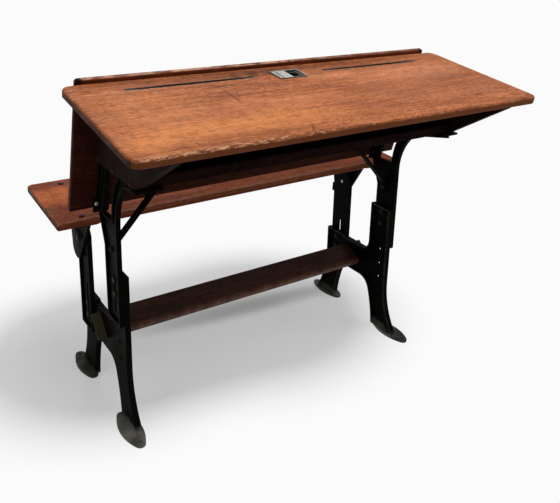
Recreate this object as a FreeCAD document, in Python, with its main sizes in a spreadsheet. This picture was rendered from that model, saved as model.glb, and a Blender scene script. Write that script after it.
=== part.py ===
import FreeCAD, Part
import math
import os

import Sketcher

# Adjustable school desk with a folding bench seat behind it.
# +Z up, X along the desk, -Y the writer's side, +Y the seat's side, floor at Z = 0.
# Setbacks are measured from the front edge of the writing board towards the seat.

os.makedirs("parts", exist_ok=True)
doc = FreeCAD.newDocument("SchoolDesk")
sheet = doc.addObject("Spreadsheet::Sheet", "Sizes")

# Driving sizes, in millimetres and degrees
sizes = {
    # Writing board
    "deskOverhang": 108,
    "deskWidth": 362,
    "deskThick": 17,
    "deskAngle": 8.25,
    "deskFrontHeight": 769,
    "deskCornerRadius": 22,
    "deskEdgeRound": 4,
    "deskUnderBevel": 1.5,
    "grooveLength": 285,
    "grooveOffset": 246,
    "grooveFromRear": 55,
    "grooveWidth": 9,
    "grooveDepth": 3.5,
    # Inkwell
    "inkOffset": 5,
    "inkFromRear": 59,
    "plateLength": 76,
    "plateWidth": 50,
    "plateThick": 1.6,
    "plateCorner": 3,
    "rimWide": 3,
    "rimHigh": 2,
    "plateFit": 0.15,
    "mouthLength": 24,
    "mouthWidth": 36,
    "mouthStart": 1,
    "coverLength": 34.5,
    "coverThick": 1.3,
    "coverFit": 0.3,
    "coverRidgeInset": 8,
    "coverRidgeWide": 3,
    "coverRidgeHigh": 3,
    "cupRadius": 16,
    "cupFlangeRadius": 19,
    "cupFlangeThick": 2.5,
    "cupDepth": 40,
    "cupWall": 3,
    "cupFit": 0.4,
    # Backboard
    "backboardOverhang": 76,
    "backboardThick": 13,
    "backboardAngle": 16.5,
    "backboardDrop": 314,
    "railRise": 9,
    "railCornerRadius": 7,
    "railBevel": 2.5,
    "stripHeight": 55,
    "boardJoint": 0.4,
    # Book box
    "boxOverhang": 31,
    "boxEndThick": 18,
    "boxDrop": 122,
    "boxReach": 198.5,
    "boxNoseSetback": 17,
    "boxNoseDrop": 8,
    "shelfThick": 11,
    "lipThick": 12,
    "lipHeight": 22,
    # Side castings
    "frameHalfGauge": 400,
    "webThick": 6,
    "lowerDepth": 14,
    "upperDepth": 11.7,
    "upperWeb": 5.7,
    "slideGap": 0.3,
    "rimWidth": 5,
    "rowBehindDesk": 23.246,
    "rowSpacing": 195.5,
    "trunkWidth": 73,
    "postWidth": 72,
    "lowerColumnExtra": 3,
    "frontColumnTop": 382,
    "rearColumnTop": 235,
    "bridgeTop": 230,
    "bridgeBottom": 138,
    "bridgeFillet": 30,
    "postFillet": 3,
    "archShoulder": 9,
    "archInset": 40,
    "archRadius": 44,
    "archDrop": 32,
    "legSplayTop": 150,
    "legSplay": 53,
    "rearLegSplay": 44,
    "toeHeight": 5,
    "heelInset": 22,
    "heelRadius": 400,
    "ledgeAhead": 4,
    "ledgeHeight": 176,
    "ledgeRun": 44,
    "ledgeRise": 46,
    "ledgeThick": 5,
    "ledgeReach": 24,
    # Feet
    "footOutset": 4,
    "footThick": 7,
    "frontToeReach": 118.5,
    "frontHeelReach": 3.5,
    "rearHeelReach": 7,
    "rearToeReach": 107,
    "footTipHalf": 11,
    "footSideRadius": 140,
    "footHoleRadius": 3.5,
    "footHoleInset": 7,
    # Upper standards
    "trunkBottom": 262,
    "crotchDrop": 133,
    "trunkSplitDrop": 147,
    "branchWidth": 21.5,
    "armOuterRadius": 145,
    "armOuterRise": 112,
    "armInnerRadius": 167,
    "armTipAhead": 11,
    "armTipDepth": 10,
    "armFlangeThick": 5,
    "armFlangeWide": 30,
    "armFlangeLength": 150,
    "armLugWide": 60,
    "armLugLength": 20,
    "rearBranchWidth": 20,
    "branchFootDrop": 139,
    "branchShoulderDrop": 207,
    "lugThick": 5,
    "lugWide": 36,
    "lugHeight": 38,
    # Clamp bolts and slots
    "clampRadius": 4,
    "clampHoleFit": 0.08,
    "slotFit": 0.5,
    "clampHeadAcross": 11,
    "clampHeadHigh": 4,
    "nutAcross": 13,
    "nutThick": 5.5,
    "frontClampHigh": 365,
    "frontClampLow": 330,
    "rearClampHigh": 215,
    "rearClampLow": 181,
    "deskRaise": 45,
    "deskLower": 10,
    "seatRaise": 10,
    "seatLower": 50,
    "spareHoleHigh": 292,
    "spareHolePitch": 44,
    # Braces
    "braceWidth": 20,
    "braceThick": 5.5,
    "braceBehindRow": 6.5,
    "braceFootDrop": 195,
    "braceTab": 28,
    "braceReach": 174,
    "braceFootShare": 0.38,
    "braceTopShare": 0.45,
    # Footrest
    "footrestWidth": 70,
    "footrestThick": 20,
    "footrestAngle": 27,
    "footrestBehindRow": 83.5,
    "footrestHeight": 177,
    "footrestRound": 4,
    # Seat posts
    "postBottom": 148,
    "pivotDrop": 93,
    "pivotRadius": 5,
    "pivotFit": 0.05,
    "pivotBossRadius": 14,
    "pivotHeadRadius": 9,
    "pivotHeadHigh": 4.5,
    "headRadius": 38,
    "stopGap": 0.3,
    # Seat
    "seatOverhang": 102,
    "seatAheadOfPost": 119,
    "seatRun": 250,
    "seatFrontHeight": 488,
    "seatAngle": 3.64,
    "seatThick": 15,
    "seatFrontCorner": 5,
    "seatRearCorner": 14,
    "seatBevel": 2,
    "bracketWeb": 7.7,
    "bracketGap": 0.3,
    "bracketFlangeThick": 6,
    "bracketFlangeInset": 2,
    "bracketFlangeReach": 62,
    "bracketFrontInset": 10,
    "bracketRearInset": 12,
    "bracketCorner": 12,
    "gussetFrontInset": 24,
    "gussetRearInset": 53,
    "tailDrop": 33,
    "tailRun": 19,
    "tailRadius": 30,
    "tailAngle": 30,
    "recessRim": 8,
    "recessDepth": 3.5,
    "lugDrop": 20,
    "lugTall": 26,
    "lugDeep": 10,
    "lugReach": 10,
    # Overrun of every cutting tool
    "overrun": 2,
}


class Size:
    """A number with the sheet expression that gives it."""

    def __init__(self, value, text):
        self.value = value
        self.text = text

    def __add__(self, other):
        other = asSize(other)
        return Size(self.value + other.value, f"({self.text} + {other.text})")

    def __sub__(self, other):
        other = asSize(other)
        return Size(self.value - other.value, f"({self.text} - {other.text})")

    def __mul__(self, other):
        other = asSize(other)
        return Size(self.value * other.value, f"({self.text} * {other.text})")

    def __truediv__(self, other):
        other = asSize(other)
        return Size(self.value / other.value, f"({self.text} / {other.text})")

    def __neg__(self):
        return Size(-self.value, f"(-{self.text})")

    __radd__ = __add__

    def __rmul__(self, other):
        return self * other


def asSize(number):
    return number if isinstance(number, Size) else Size(number, repr(number))


def sine(angle):
    return Size(math.sin(math.radians(angle.value)), f"sin({angle.text})")


def cosine(angle):
    return Size(math.cos(math.radians(angle.value)), f"cos({angle.text})")


def tangent(angle):
    return Size(math.tan(math.radians(angle.value)), f"tan({angle.text})")


def root(number):
    return Size(math.sqrt(number.value), f"sqrt({number.text})")


class Sheet:
    """Every driving size under its own name."""


s = Sheet()
for row, (name, number) in enumerate(sizes.items(), 1):
    sheet.set(f"A{row}", name)
    sheet.set(f"B{row}", str(number))
    sheet.setAlias(f"B{row}", name)
    setattr(s, name, Size(number, "Sizes." + name))


def derive(name, size):
    """A size worked out from the others, kept in the sheet as a formula."""
    row = len(vars(s)) + 1
    sheet.set(f"A{row}", name)
    sheet.set(f"B{row}", "=" + size.text.replace("Sizes.", ""))
    sheet.setAlias(f"B{row}", name)
    setattr(s, name, Size(size.value, "Sizes." + name))


# Side to side, everything hangs on the gauge of the frames
derive("deskLength", (s.frameHalfGauge + s.deskOverhang) * 2)
derive("backboardLength", (s.frameHalfGauge + s.backboardOverhang) * 2)
derive("boxHalfLength", s.frameHalfGauge + s.boxOverhang)
derive("seatLength", (s.frameHalfGauge + s.seatOverhang) * 2)
derive("footGauge", s.frameHalfGauge + s.footOutset)
derive("braceTopX", s.frameHalfGauge - s.braceReach)
derive("bracketFlangeInner", s.frameHalfGauge - s.bracketFlangeInset)
derive("bracketFlangeOuter", s.frameHalfGauge + s.bracketFlangeReach)
# Front to back, the standards follow the backboard, and the seat follows the standards
derive("rowSetback", s.deskWidth * cosine(s.deskAngle) + s.rowBehindDesk)
derive("boxFrontSetback", s.rowSetback - s.boxReach)
derive("armTipSetback", s.boxFrontSetback - s.armTipAhead)
derive("postSetback", s.rowSetback + s.rowSpacing)
derive("seatSetback", s.postSetback - s.seatAheadOfPost)
derive("overallDepth", s.seatSetback + s.seatRun)
derive("braceSetback", s.rowSetback + s.braceBehindRow)
derive("footrestSetback", s.rowSetback + s.footrestBehindRow)
derive("ledgeSetback", s.footrestSetback - s.ledgeAhead)
derive("frontFootTip", s.rowSetback - s.frontToeReach)
derive("frontFootHeel", s.rowSetback + s.frontHeelReach)
derive("rearFootHeel", s.postSetback - s.rearHeelReach)
derive("rearFootTip", s.postSetback + s.rearToeReach)
# Heights under the writing board and under the seat
derive("boxBottomHeight", s.deskFrontHeight - s.boxDrop)
derive("crotchHeight", s.boxBottomHeight - s.crotchDrop)
derive("trunkSplit", s.boxBottomHeight - s.trunkSplitDrop)
derive("rearBranchFoot", s.boxBottomHeight - s.branchFootDrop)
derive("rearBranchShoulder", s.boxBottomHeight - s.branchShoulderDrop)
derive("braceFootHeight", s.boxBottomHeight - s.braceFootDrop)
derive("pivotHeight", s.seatFrontHeight - s.pivotDrop)
doc.recompute()

vector = FreeCAD.Vector
zero = asSize(0)
nodes = {}
# Turns a sketch's own X, Y, Z into the world's Y, Z, X
sideTurn = FreeCAD.Rotation(vector(1, 1, 1), 120)


# Helpers that bind geometry to the sheet

def bind(thing, prop, size):
    thing.setExpression(prop, size.text)


def keep(label, thing):
    thing.Label = label
    nodes[label] = thing
    return thing


def place(thing, x, y, z, axis=vector(0, 0, 1), angle=zero):
    base = vector(x.value, y.value, z.value)
    thing.Placement = FreeCAD.Placement(base, FreeCAD.Rotation(axis, angle.value))
    bind(thing, "Placement.Base.x", x)
    bind(thing, "Placement.Base.y", y)
    bind(thing, "Placement.Base.z", z)
    if angle is not zero:
        bind(thing, "Placement.Rotation.Angle", angle)


def arcBetween(start, end, radius, side):
    middle = (start + end) * 0.5
    chord = end - start
    across = vector(-chord.y, chord.x, 0).normalize() * side
    reach = math.sqrt(max(radius ** 2 - (chord.Length / 2) ** 2, 0))
    centre = middle + across * reach
    first, last = (start, end) if side > 0 else (end, start)
    angles = [math.atan2(p.y - centre.y, p.x - centre.x) for p in (first, last)]
    if angles[1] < angles[0]:
        angles[1] += 2 * math.pi
    circle = Part.Circle(centre, vector(0, 0, 1), radius)
    return Part.ArcOfCircle(circle, angles[0], angles[1])


def fixPoint(sketch, index, end, x, y):
    for kind, size in (("DistanceX", x), ("DistanceY", y)):
        number = sketch.addConstraint(Sketcher.Constraint(kind, index, end, size.value))
        sketch.setExpression(f"Constraints[{number}]", size.text)


def drawOutline(sketch, corners):
    """Closed outline: (x, y), or (x, y, radius, side) where an arc runs to the next corner.
    Side 1 has the arc's centre on the left of the way round, side -1 on the right."""
    count = len(corners)
    first = sketch.GeometryCount
    points = [vector(corner[0].value, corner[1].value, 0) for corner in corners]
    starts = []
    for i, corner in enumerate(corners):
        start, end = points[i], points[(i + 1) % count]
        if len(corner) == 2:
            sketch.addGeometry(Part.LineSegment(start, end), False)
            starts.append((1, 2))
        else:
            sketch.addGeometry(arcBetween(start, end, corner[2].value, corner[3]), False)
            starts.append((1, 2) if corner[3] > 0 else (2, 1))
    for i in range(count):
        follower = (i + 1) % count
        sketch.addConstraint(Sketcher.Constraint(
            "Coincident", first + i, starts[i][1], first + follower, starts[follower][0]))
    for i, corner in enumerate(corners):
        fixPoint(sketch, first + i, starts[i][0], corner[0], corner[1])
        if len(corner) == 4:
            number = sketch.addConstraint(
                Sketcher.Constraint("Radius", first + i, corner[2].value))
            sketch.setExpression(f"Constraints[{number}]", corner[2].text)


def drawCircle(sketch, x, y, radius):
    index = sketch.addGeometry(
        Part.Circle(vector(x.value, y.value, 0), vector(0, 0, 1), radius.value), False)
    fixPoint(sketch, index, 3, x, y)
    number = sketch.addConstraint(Sketcher.Constraint("Radius", index, radius.value))
    sketch.setExpression(f"Constraints[{number}]", radius.text)


def roundedBox(x0, x1, y0, y1, radius, front=None):
    """Box with round corners; front is the radius at y0 where that is another one."""
    front = front or radius
    return [(x0 + front, y0), (x1 - front, y0, front, 1), (x1, y0 + front),
            (x1, y1 - radius, radius, 1), (x1 - radius, y1), (x0 + radius, y1, radius, 1),
            (x0, y1 - radius), (x0, y0 + front, front, 1)]


def squareBox(x0, x1, y0, y1):
    return [(x0, y0), (x1, y0), (x1, y1), (x0, y1)]


def bodySketch(body, plane, offset, name):
    sketch = body.newObject("Sketcher::SketchObject", name)
    base = [part for part in body.Origin.OriginFeatures if part.Role == plane][0]
    sketch.AttachmentSupport = [(base, "")]
    sketch.MapMode = "FlatFace"
    if offset is not zero:
        bind(sketch, "AttachmentOffset.Base.z", offset)
    return sketch


def newBody(name):
    return doc.addObject("PartDesign::Body", name)


def extend(body, sketch, length, kind="PartDesign::Pad", midplane=False, reverse=False):
    feature = body.newObject(kind, kind.split("::")[1])
    feature.Profile = sketch
    feature.Length = length.value
    bind(feature, "Length", length)
    feature.Midplane = midplane
    feature.Reversed = reverse
    doc.recompute()
    return feature


def softenEdges(body, feature, kind, size, chosen):
    """Fillet or Chamfer of the edges for which chosen(edge) is true."""
    names = [f"Edge{i}" for i, edge in enumerate(feature.Shape.Edges, 1) if chosen(edge)]
    soft = body.newObject("PartDesign::" + kind, kind)
    soft.Base = (feature, names)
    measure = "Radius" if kind == "Fillet" else "Size"
    setattr(soft, measure, size.value)
    bind(soft, measure, size)
    doc.recompute()
    return soft


def looseSketch(name, x, y, z, turn, corners):
    """A sketch that stands by itself, for the castings."""
    sketch = doc.addObject("Sketcher::SketchObject", name)
    sketch.Placement = FreeCAD.Placement(vector(x.value, y.value, z.value), turn)
    for key, size in (("x", x), ("y", y), ("z", z)):
        if size is not zero:
            bind(sketch, "Placement.Base." + key, size)
    drawOutline(sketch, corners)
    return sketch


def extrude(name, source, direction, length):
    block = doc.addObject("Part::Extrusion", name)
    block.Base = source
    block.DirMode = "Custom"
    block.Dir = direction
    block.Solid = True
    block.LengthFwd = length.value
    bind(block, "LengthFwd", length)
    return block


def cut(name, base, tool):
    result = doc.addObject("Part::Cut", name)
    result.Base = base
    result.Tool = tool
    return result


def fuse(name, shapes):
    result = doc.addObject("Part::MultiFuse", name)
    result.Shapes = shapes
    result.Refine = True
    return result


def cylinder(name, radius, height, x, y, z, axis=vector(0, 0, 1), angle=zero):
    rod = doc.addObject("Part::Cylinder", name)
    bind(rod, "Radius", radius)
    bind(rod, "Height", height)
    place(rod, x, y, z, axis, angle)
    return rod


def mirrored(label, source):
    copy = doc.addObject("Part::Mirroring", "Mirrored")
    copy.Source = source
    copy.Normal = vector(1, 0, 0)
    return keep(label, copy)


quarter = asSize(90)
alongX = vector(0, 1, 0)


# Places that several pieces share

def fromFront(setback):
    return setback - s.overallDepth / 2


deskRearY = fromFront(s.deskWidth * cosine(s.deskAngle))
deskRearZ = s.deskFrontHeight + s.deskWidth * sine(s.deskAngle)
leanTan = tangent(s.backboardAngle)
slopeTan = tangent(s.deskAngle)
upperInner = s.frameHalfGauge + s.slideGap
upperOuter = upperInner + s.upperDepth
upperWebOuter = upperInner + s.upperWeb
boxInner = s.boxHalfLength - s.boxEndThick
upperCentre = upperInner + s.upperDepth / 2


def backboardFace(height):
    """Y of the backboard's front face at a height."""
    return deskRearY + (deskRearZ - height) * leanTan


def deskUnderside(setback):
    """Height of the writing board's underside at a setback."""
    drop = s.deskThick / cosine(s.deskAngle)
    return s.deskFrontHeight + setback * slopeTan - drop


def seatUnderside(setback):
    drop = s.seatThick / cosine(s.seatAngle)
    return s.seatFrontHeight + (setback - s.seatSetback) * tangent(s.seatAngle) - drop


# Writing board, in its own frame: origin on the front top edge, Y up the slope

def placeOnSlope(body):
    place(body, zero, fromFront(zero), s.deskFrontHeight, vector(1, 0, 0), s.deskAngle)


inkX = -s.inkOffset
inkY = s.deskWidth - s.inkFromRear
mouthX = inkX + s.mouthStart + s.mouthLength / 2


def makeDesktop():
    body = newBody("Desktop")
    half = s.deskLength / 2
    sketch = bodySketch(body, "XY_Plane", zero, "Board")
    drawOutline(sketch, roundedBox(-half, half, zero, s.deskWidth, s.deskCornerRadius))
    board = extend(body, sketch, s.deskThick, reverse=True)

    # The upper edges are rounded, the lower ones bevelled
    bevel = s.deskUnderBevel
    board = softenEdges(body, board, "Fillet", s.deskEdgeRound,
                        lambda edge: edge.BoundBox.ZMin > -bevel.value)
    softenEdges(body, board, "Chamfer", bevel,
                lambda edge: edge.BoundBox.ZMax < (bevel - s.deskThick).value)

    # Each pencil groove is the bottom of a very wide ring, so it is deepest in the middle
    radius = s.grooveWidth / 2
    reach = s.grooveLength * s.grooveLength / (8 * s.grooveDepth) + s.grooveDepth / 2
    profile = bodySketch(body, "YZ_Plane", s.grooveOffset, "GrooveProfile")
    drawCircle(profile, s.deskWidth - s.grooveFromRear, radius - s.grooveDepth, radius)
    start = vector(zero.value, (reach - s.grooveDepth).value, 0)
    line = profile.addGeometry(Part.LineSegment(start, start + vector(1, 0, 0)), True)
    profile.addConstraint(Sketcher.Constraint("Horizontal", line))
    fixPoint(profile, line, 1, zero, reach - s.grooveDepth)
    groove = body.newObject("PartDesign::Groove", "PencilGroove")
    groove.Profile = profile
    groove.ReferenceAxis = (profile, ["Axis0"])
    groove.Midplane = True
    bind(groove, "Angle", s.grooveLength / reach * 180 / math.pi)
    doc.recompute()
    mirror = body.newObject("PartDesign::Mirrored", "MirroredGroove")
    mirror.Originals = [groove]
    plane = [part for part in body.Origin.OriginFeatures if part.Role == "YZ_Plane"][0]
    mirror.MirrorPlane = (plane, [""])
    body.Tip = mirror
    doc.recompute()

    # Recess for the inkwell's plate, then the seat and the hole for the cup
    recess = bodySketch(body, "XY_Plane", zero, "PlateRecess")
    halfLength = s.plateLength / 2 + s.plateFit
    halfWidth = s.plateWidth / 2 + s.plateFit
    drawOutline(recess, roundedBox(inkX - halfLength, inkX + halfLength, inkY - halfWidth,
                                   inkY + halfWidth, s.plateCorner))
    extend(body, recess, s.plateThick, "PartDesign::Pocket")
    seat = bodySketch(body, "XY_Plane", zero, "CupSeat")
    drawCircle(seat, mouthX, inkY, s.cupFlangeRadius + s.cupFit)
    extend(body, seat, s.plateThick + s.cupFlangeThick, "PartDesign::Pocket")
    hole = bodySketch(body, "XY_Plane", zero, "CupHole")
    drawCircle(hole, mouthX, inkY, s.cupRadius + s.cupFit)
    extend(body, hole, s.deskThick + s.overrun, "PartDesign::Pocket")
    placeOnSlope(body)
    keep("desktop", body)


def makeInkwellPlate():
    body = newBody("InkwellPlate")
    halfLength = s.plateLength / 2
    halfWidth = s.plateWidth / 2
    sketch = bodySketch(body, "XY_Plane", -s.plateThick, "Plate")
    drawOutline(sketch, roundedBox(inkX - halfLength, inkX + halfLength, inkY - halfWidth,
                                   inkY + halfWidth, s.plateCorner))
    extend(body, sketch, s.plateThick + s.rimHigh)
    inner = bodySketch(body, "XY_Plane", s.rimHigh, "RimInside")
    drawOutline(inner, squareBox(inkX - halfLength + s.rimWide, inkX + halfLength - s.rimWide,
                                 inkY - halfWidth + s.rimWide, inkY + halfWidth - s.rimWide))
    extend(body, inner, s.rimHigh, "PartDesign::Pocket")
    mouth = bodySketch(body, "XY_Plane", zero, "Mouth")
    drawOutline(mouth, squareBox(inkX + s.mouthStart, inkX + s.mouthStart + s.mouthLength,
                                 inkY - s.mouthWidth / 2, inkY + s.mouthWidth / 2))
    extend(body, mouth, s.plateThick + s.overrun, "PartDesign::Pocket")
    placeOnSlope(body)
    keep("inkwell_plate", body)


def makeInkwellCover():
    body = newBody("InkwellCover")
    left = inkX - s.plateLength / 2 + s.rimWide + s.coverFit
    halfWidth = s.plateWidth / 2 - s.rimWide - s.coverFit
    sketch = bodySketch(body, "XY_Plane", s.coverFit, "Cover")
    drawOutline(sketch, squareBox(left, left + s.coverLength, inkY - halfWidth, inkY + halfWidth))
    extend(body, sketch, s.coverThick)
    # The thumb ridge runs across the cover near its outer end
    ridge = bodySketch(body, "XY_Plane", s.coverFit + s.coverThick, "ThumbRidge")
    ridgeLeft = left + s.coverRidgeInset
    halfRidge = halfWidth - s.coverRidgeWide
    drawOutline(ridge, squareBox(ridgeLeft, ridgeLeft + s.coverRidgeWide, inkY - halfRidge,
                                 inkY + halfRidge))
    pad = extend(body, ridge, s.coverRidgeHigh)
    top = (s.coverFit + s.coverThick + s.coverRidgeHigh).value
    softenEdges(body, pad, "Fillet", s.coverRidgeWide / 3,
                lambda edge: min(v.Z for v in edge.Vertexes) > top - s.coverFit.value)
    placeOnSlope(body)
    keep("inkwell_cover", body)


def makeInkwellCup():
    body = newBody("InkwellCup")
    sketch = bodySketch(body, "YZ_Plane", mouthX, "CupProfile")
    top = -s.plateThick
    inner = s.cupRadius - s.cupWall
    drawOutline(sketch, [
        (inkY, -s.cupDepth), (inkY + s.cupRadius, -s.cupDepth),
        (inkY + s.cupRadius, top - s.cupFlangeThick),
        (inkY + s.cupFlangeRadius, top - s.cupFlangeThick), (inkY + s.cupFlangeRadius, top),
        (inkY + inner, top), (inkY + inner, s.cupWall - s.cupDepth),
        (inkY, s.cupWall - s.cupDepth)])
    axis = sketch.addGeometry(Part.LineSegment(
        vector(inkY.value, 0, 0), vector(inkY.value, 1, 0)), True)
    sketch.addConstraint(Sketcher.Constraint("Vertical", axis))
    fixPoint(sketch, axis, 1, inkY, zero)
    turn = body.newObject("PartDesign::Revolution", "Revolution")
    turn.Profile = sketch
    turn.ReferenceAxis = (sketch, ["Axis0"])
    turn.Angle = 360
    doc.recompute()
    placeOnSlope(body)
    keep("inkwell_cup", body)


# Backboard: two boards edge to edge, in the frame of their rear face, Y up the board

def placeOnLean(body):
    lean = s.backboardAngle
    y = deskRearY + s.backboardDrop * sine(lean) + s.backboardThick * cosine(lean)
    z = deskRearZ - s.backboardDrop * cosine(lean) + s.backboardThick * sine(lean)
    place(body, zero, y, z, vector(1, 0, 0), quarter + lean)


def makeBackboard():
    half = s.backboardLength / 2
    top = s.backboardDrop + s.railRise
    radius = s.railCornerRadius
    body = newBody("Backboard")
    sketch = bodySketch(body, "XY_Plane", zero, "Board")
    foot = s.stripHeight + s.boardJoint
    drawOutline(sketch, [(-half, foot), (half, foot), (half, top - radius, radius, 1),
                         (half - radius, top), (radius - half, top, radius, 1),
                         (-half, top - radius)])
    board = extend(body, sketch, s.backboardThick)
    shoulder = (top - radius).value

    def rail(edge):
        flat = len({round(v.Z, 3) for v in edge.Vertexes}) == 1
        return flat and min(v.Y for v in edge.Vertexes) > shoulder - s.boardJoint.value
    softenEdges(body, board, "Chamfer", s.railBevel, rail)
    placeOnLean(body)
    keep("backboard", body)

    strip = newBody("BackboardStrip")
    sketch = bodySketch(strip, "XY_Plane", zero, "Strip")
    drawOutline(sketch, squareBox(-half, half, zero, s.stripHeight))
    extend(strip, sketch, s.backboardThick)
    placeOnLean(strip)
    keep("backboard_strip", strip)


# Book box

def makeBookBox():
    slope = s.deskAngle
    cornerRise = s.deskThick * leanTan / (cosine(slope) * (1 + slopeTan * leanTan))
    rearTopY = deskRearY + cornerRise
    rearTopSetback = rearTopY + s.overallDepth / 2
    end = newBody("BoxEnd")
    sketch = bodySketch(end, "YZ_Plane", boxInner, "EndPanel")
    nose = fromFront(s.boxNoseSetback)
    noseTop = deskUnderside(s.boxNoseSetback)
    drawOutline(sketch, [
        (fromFront(s.boxFrontSetback), s.boxBottomHeight),
        (backboardFace(s.boxBottomHeight), s.boxBottomHeight),
        (rearTopY, deskUnderside(rearTopSetback)),
        (nose, noseTop), (nose, noseTop - s.boxNoseDrop)])
    extend(end, sketch, s.boxEndThick)
    keep("box_end_right", end)
    mirrored("box_end_left", end)

    shelf = newBody("BoxShelf")
    sketch = bodySketch(shelf, "YZ_Plane", zero, "Shelf")
    front = fromFront(s.boxFrontSetback + s.lipThick)
    top = s.boxBottomHeight + s.shelfThick
    drawOutline(sketch, [
        (front, s.boxBottomHeight), (backboardFace(s.boxBottomHeight), s.boxBottomHeight),
        (backboardFace(top), top), (front, top)])
    extend(shelf, sketch, boxInner * 2, midplane=True)
    keep("box_shelf", shelf)

    lip = newBody("BoxLip")
    sketch = bodySketch(lip, "YZ_Plane", zero, "Lip")
    drawOutline(sketch, squareBox(fromFront(s.boxFrontSetback), front, s.boxBottomHeight,
                                  s.boxBottomHeight + s.lipHeight))
    pad = extend(lip, sketch, boxInner * 2, midplane=True)
    topEdge = (s.boxBottomHeight + s.lipHeight).value

    def crown(edge):
        along = edge.BoundBox.XLength > s.lipHeight.value
        return along and edge.BoundBox.ZMin > topEdge - s.boardJoint.value
    softenEdges(lip, pad, "Fillet", s.lipThick / 4, crown)
    keep("box_lip", lip)


# Cast side frames: a flat web inside a raised rim

def rimmedCasting(name, outline, hollow, direction, depth, web):
    """Flat web with a raised rim round the hollow; without one the rim has an even width."""
    if hollow is None:
        hollow = doc.addObject("Part::Offset2D", name + "Inset")
        hollow.Source = outline
        bind(hollow, "Value", -s.rimWidth)
        hollow.Join = 2
    whole = extrude(name + "Whole", outline, direction, depth)
    inside = extrude(name + "Hollow", hollow, direction, depth + s.overrun)
    rim = cut(name + "Rim", whole, inside)
    plate = extrude(name + "Web", outline, direction, web)
    return [rim, plate]


def footPad(name, low, high):
    """Leaf-shaped foot: two long arcs joined by small ones that run on from them."""
    body = newBody(name)
    length = high - low
    radius = s.footSideRadius
    half = s.footTipHalf
    endRadius = half * radius / root(radius * radius - length * length / 4)
    left, right = s.footGauge - half, s.footGauge + half
    sketch = bodySketch(body, "XY_Plane", zero, "Leaf")
    drawOutline(sketch, [(right, low, radius, 1), (right, high, endRadius, 1),
                         (left, high, radius, 1), (left, low, endRadius, 1)])
    extend(body, sketch, s.footThick)
    return body


def coredHole(name, setback, height):
    """Square cored hole through a casting's web, round a clamp bolt or spare."""
    across = (s.clampRadius + s.clampHoleFit) * 2
    hole = doc.addObject("Part::Box", name)
    bind(hole, "Length", s.lowerDepth + s.overrun * 2)
    bind(hole, "Width", across)
    bind(hole, "Height", across)
    place(hole, s.frameHalfGauge - s.lowerDepth - s.overrun, fromFront(setback) - across / 2,
          height - across / 2)
    return hole


def makeLowerCasting():
    half = s.trunkWidth / 2
    trunkFront = fromFront(s.rowSetback - half)
    trunkRear = fromFront(s.rowSetback + half + s.lowerColumnExtra)
    postFront = fromFront(s.postSetback - s.postWidth / 2)
    postRear = fromFront(s.postSetback + s.postWidth / 2 + s.lowerColumnExtra)
    archTop = s.bridgeBottom - s.archDrop
    archFront = trunkRear - s.archShoulder
    archRear = postFront + s.archShoulder
    heelFront = archFront - s.heelInset
    heelRear = archRear + s.heelInset
    splayRise = s.legSplayTop - s.toeHeight

    def splayRadius(splay):
        return (splayRise * splayRise + splay * splay) / (2 * splay)

    outline = looseSketch("LowerOutline", s.frameHalfGauge, zero, zero, sideTurn, [
        (trunkFront - s.legSplay, s.toeHeight),
        (heelFront, s.toeHeight, s.heelRadius, -1),
        (archFront, archTop, s.archRadius, -1),
        (archFront + s.archInset, s.bridgeBottom),
        (archRear - s.archInset, s.bridgeBottom, s.archRadius, -1),
        (archRear, archTop, s.heelRadius, -1),
        (heelRear, s.toeHeight),
        (postRear + s.rearLegSplay, s.toeHeight, splayRadius(s.rearLegSplay), -1),
        (postRear, s.legSplayTop),
        (postRear, s.rearColumnTop),
        (postFront, s.rearColumnTop),
        (postFront, s.bridgeTop + s.postFillet, s.postFillet, -1),
        (postFront - s.postFillet, s.bridgeTop),
        (trunkRear + s.bridgeFillet, s.bridgeTop, s.bridgeFillet, -1),
        (trunkRear, s.bridgeTop + s.bridgeFillet),
        (trunkRear, s.frontColumnTop),
        (trunkFront, s.frontColumnTop),
        (trunkFront, s.legSplayTop, splayRadius(s.legSplay), -1)])
    pieces = rimmedCasting("Lower", outline, None, vector(-1, 0, 0), s.lowerDepth, s.webThick)

    frontTip, rearTip = fromFront(s.frontFootTip), fromFront(s.rearFootTip)
    pieces.append(footPad("FrontFoot", frontTip, fromFront(s.frontFootHeel)))
    pieces.append(footPad("RearFoot", fromFront(s.rearFootHeel), rearTip))

    # Sloping ledge across the outer side of the bridge
    y, z = fromFront(s.ledgeSetback), s.ledgeHeight
    ledge = looseSketch("LedgeOutline", s.frameHalfGauge, zero, zero, sideTurn, [
        (y, z - s.ledgeThick), (y + s.ledgeRun, z + s.ledgeRise - s.ledgeThick),
        (y + s.ledgeRun, z + s.ledgeRise), (y, z)])
    pieces.append(extrude("Ledge", ledge, vector(1, 0, 0), s.ledgeReach))
    whole = fuse("LowerWhole", pieces)

    holes = []
    for height in (s.frontClampHigh, s.frontClampLow):
        holes.append(coredHole("FrontClampHole", s.rowSetback, height))
    for height in (s.rearClampHigh, s.rearClampLow):
        holes.append(coredHole("RearClampHole", s.postSetback, height))
    for step in range(4):
        height = s.spareHoleHigh - s.spareHolePitch * step
        holes.append(coredHole("SpareHole", s.rowSetback, height))
    for y in (frontTip + s.footHoleInset, rearTip - s.footHoleInset):
        holes.append(cylinder("FootHole", s.footHoleRadius, s.footThick + s.overrun * 2,
                              s.footGauge, y, -s.overrun))
    tools = doc.addObject("Part::MultiFuse", "LowerHoles")
    tools.Shapes = holes
    casting = keep("lower_casting_right", cut("LowerCasting", whole, tools))
    mirrored("lower_casting_left", casting)


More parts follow.
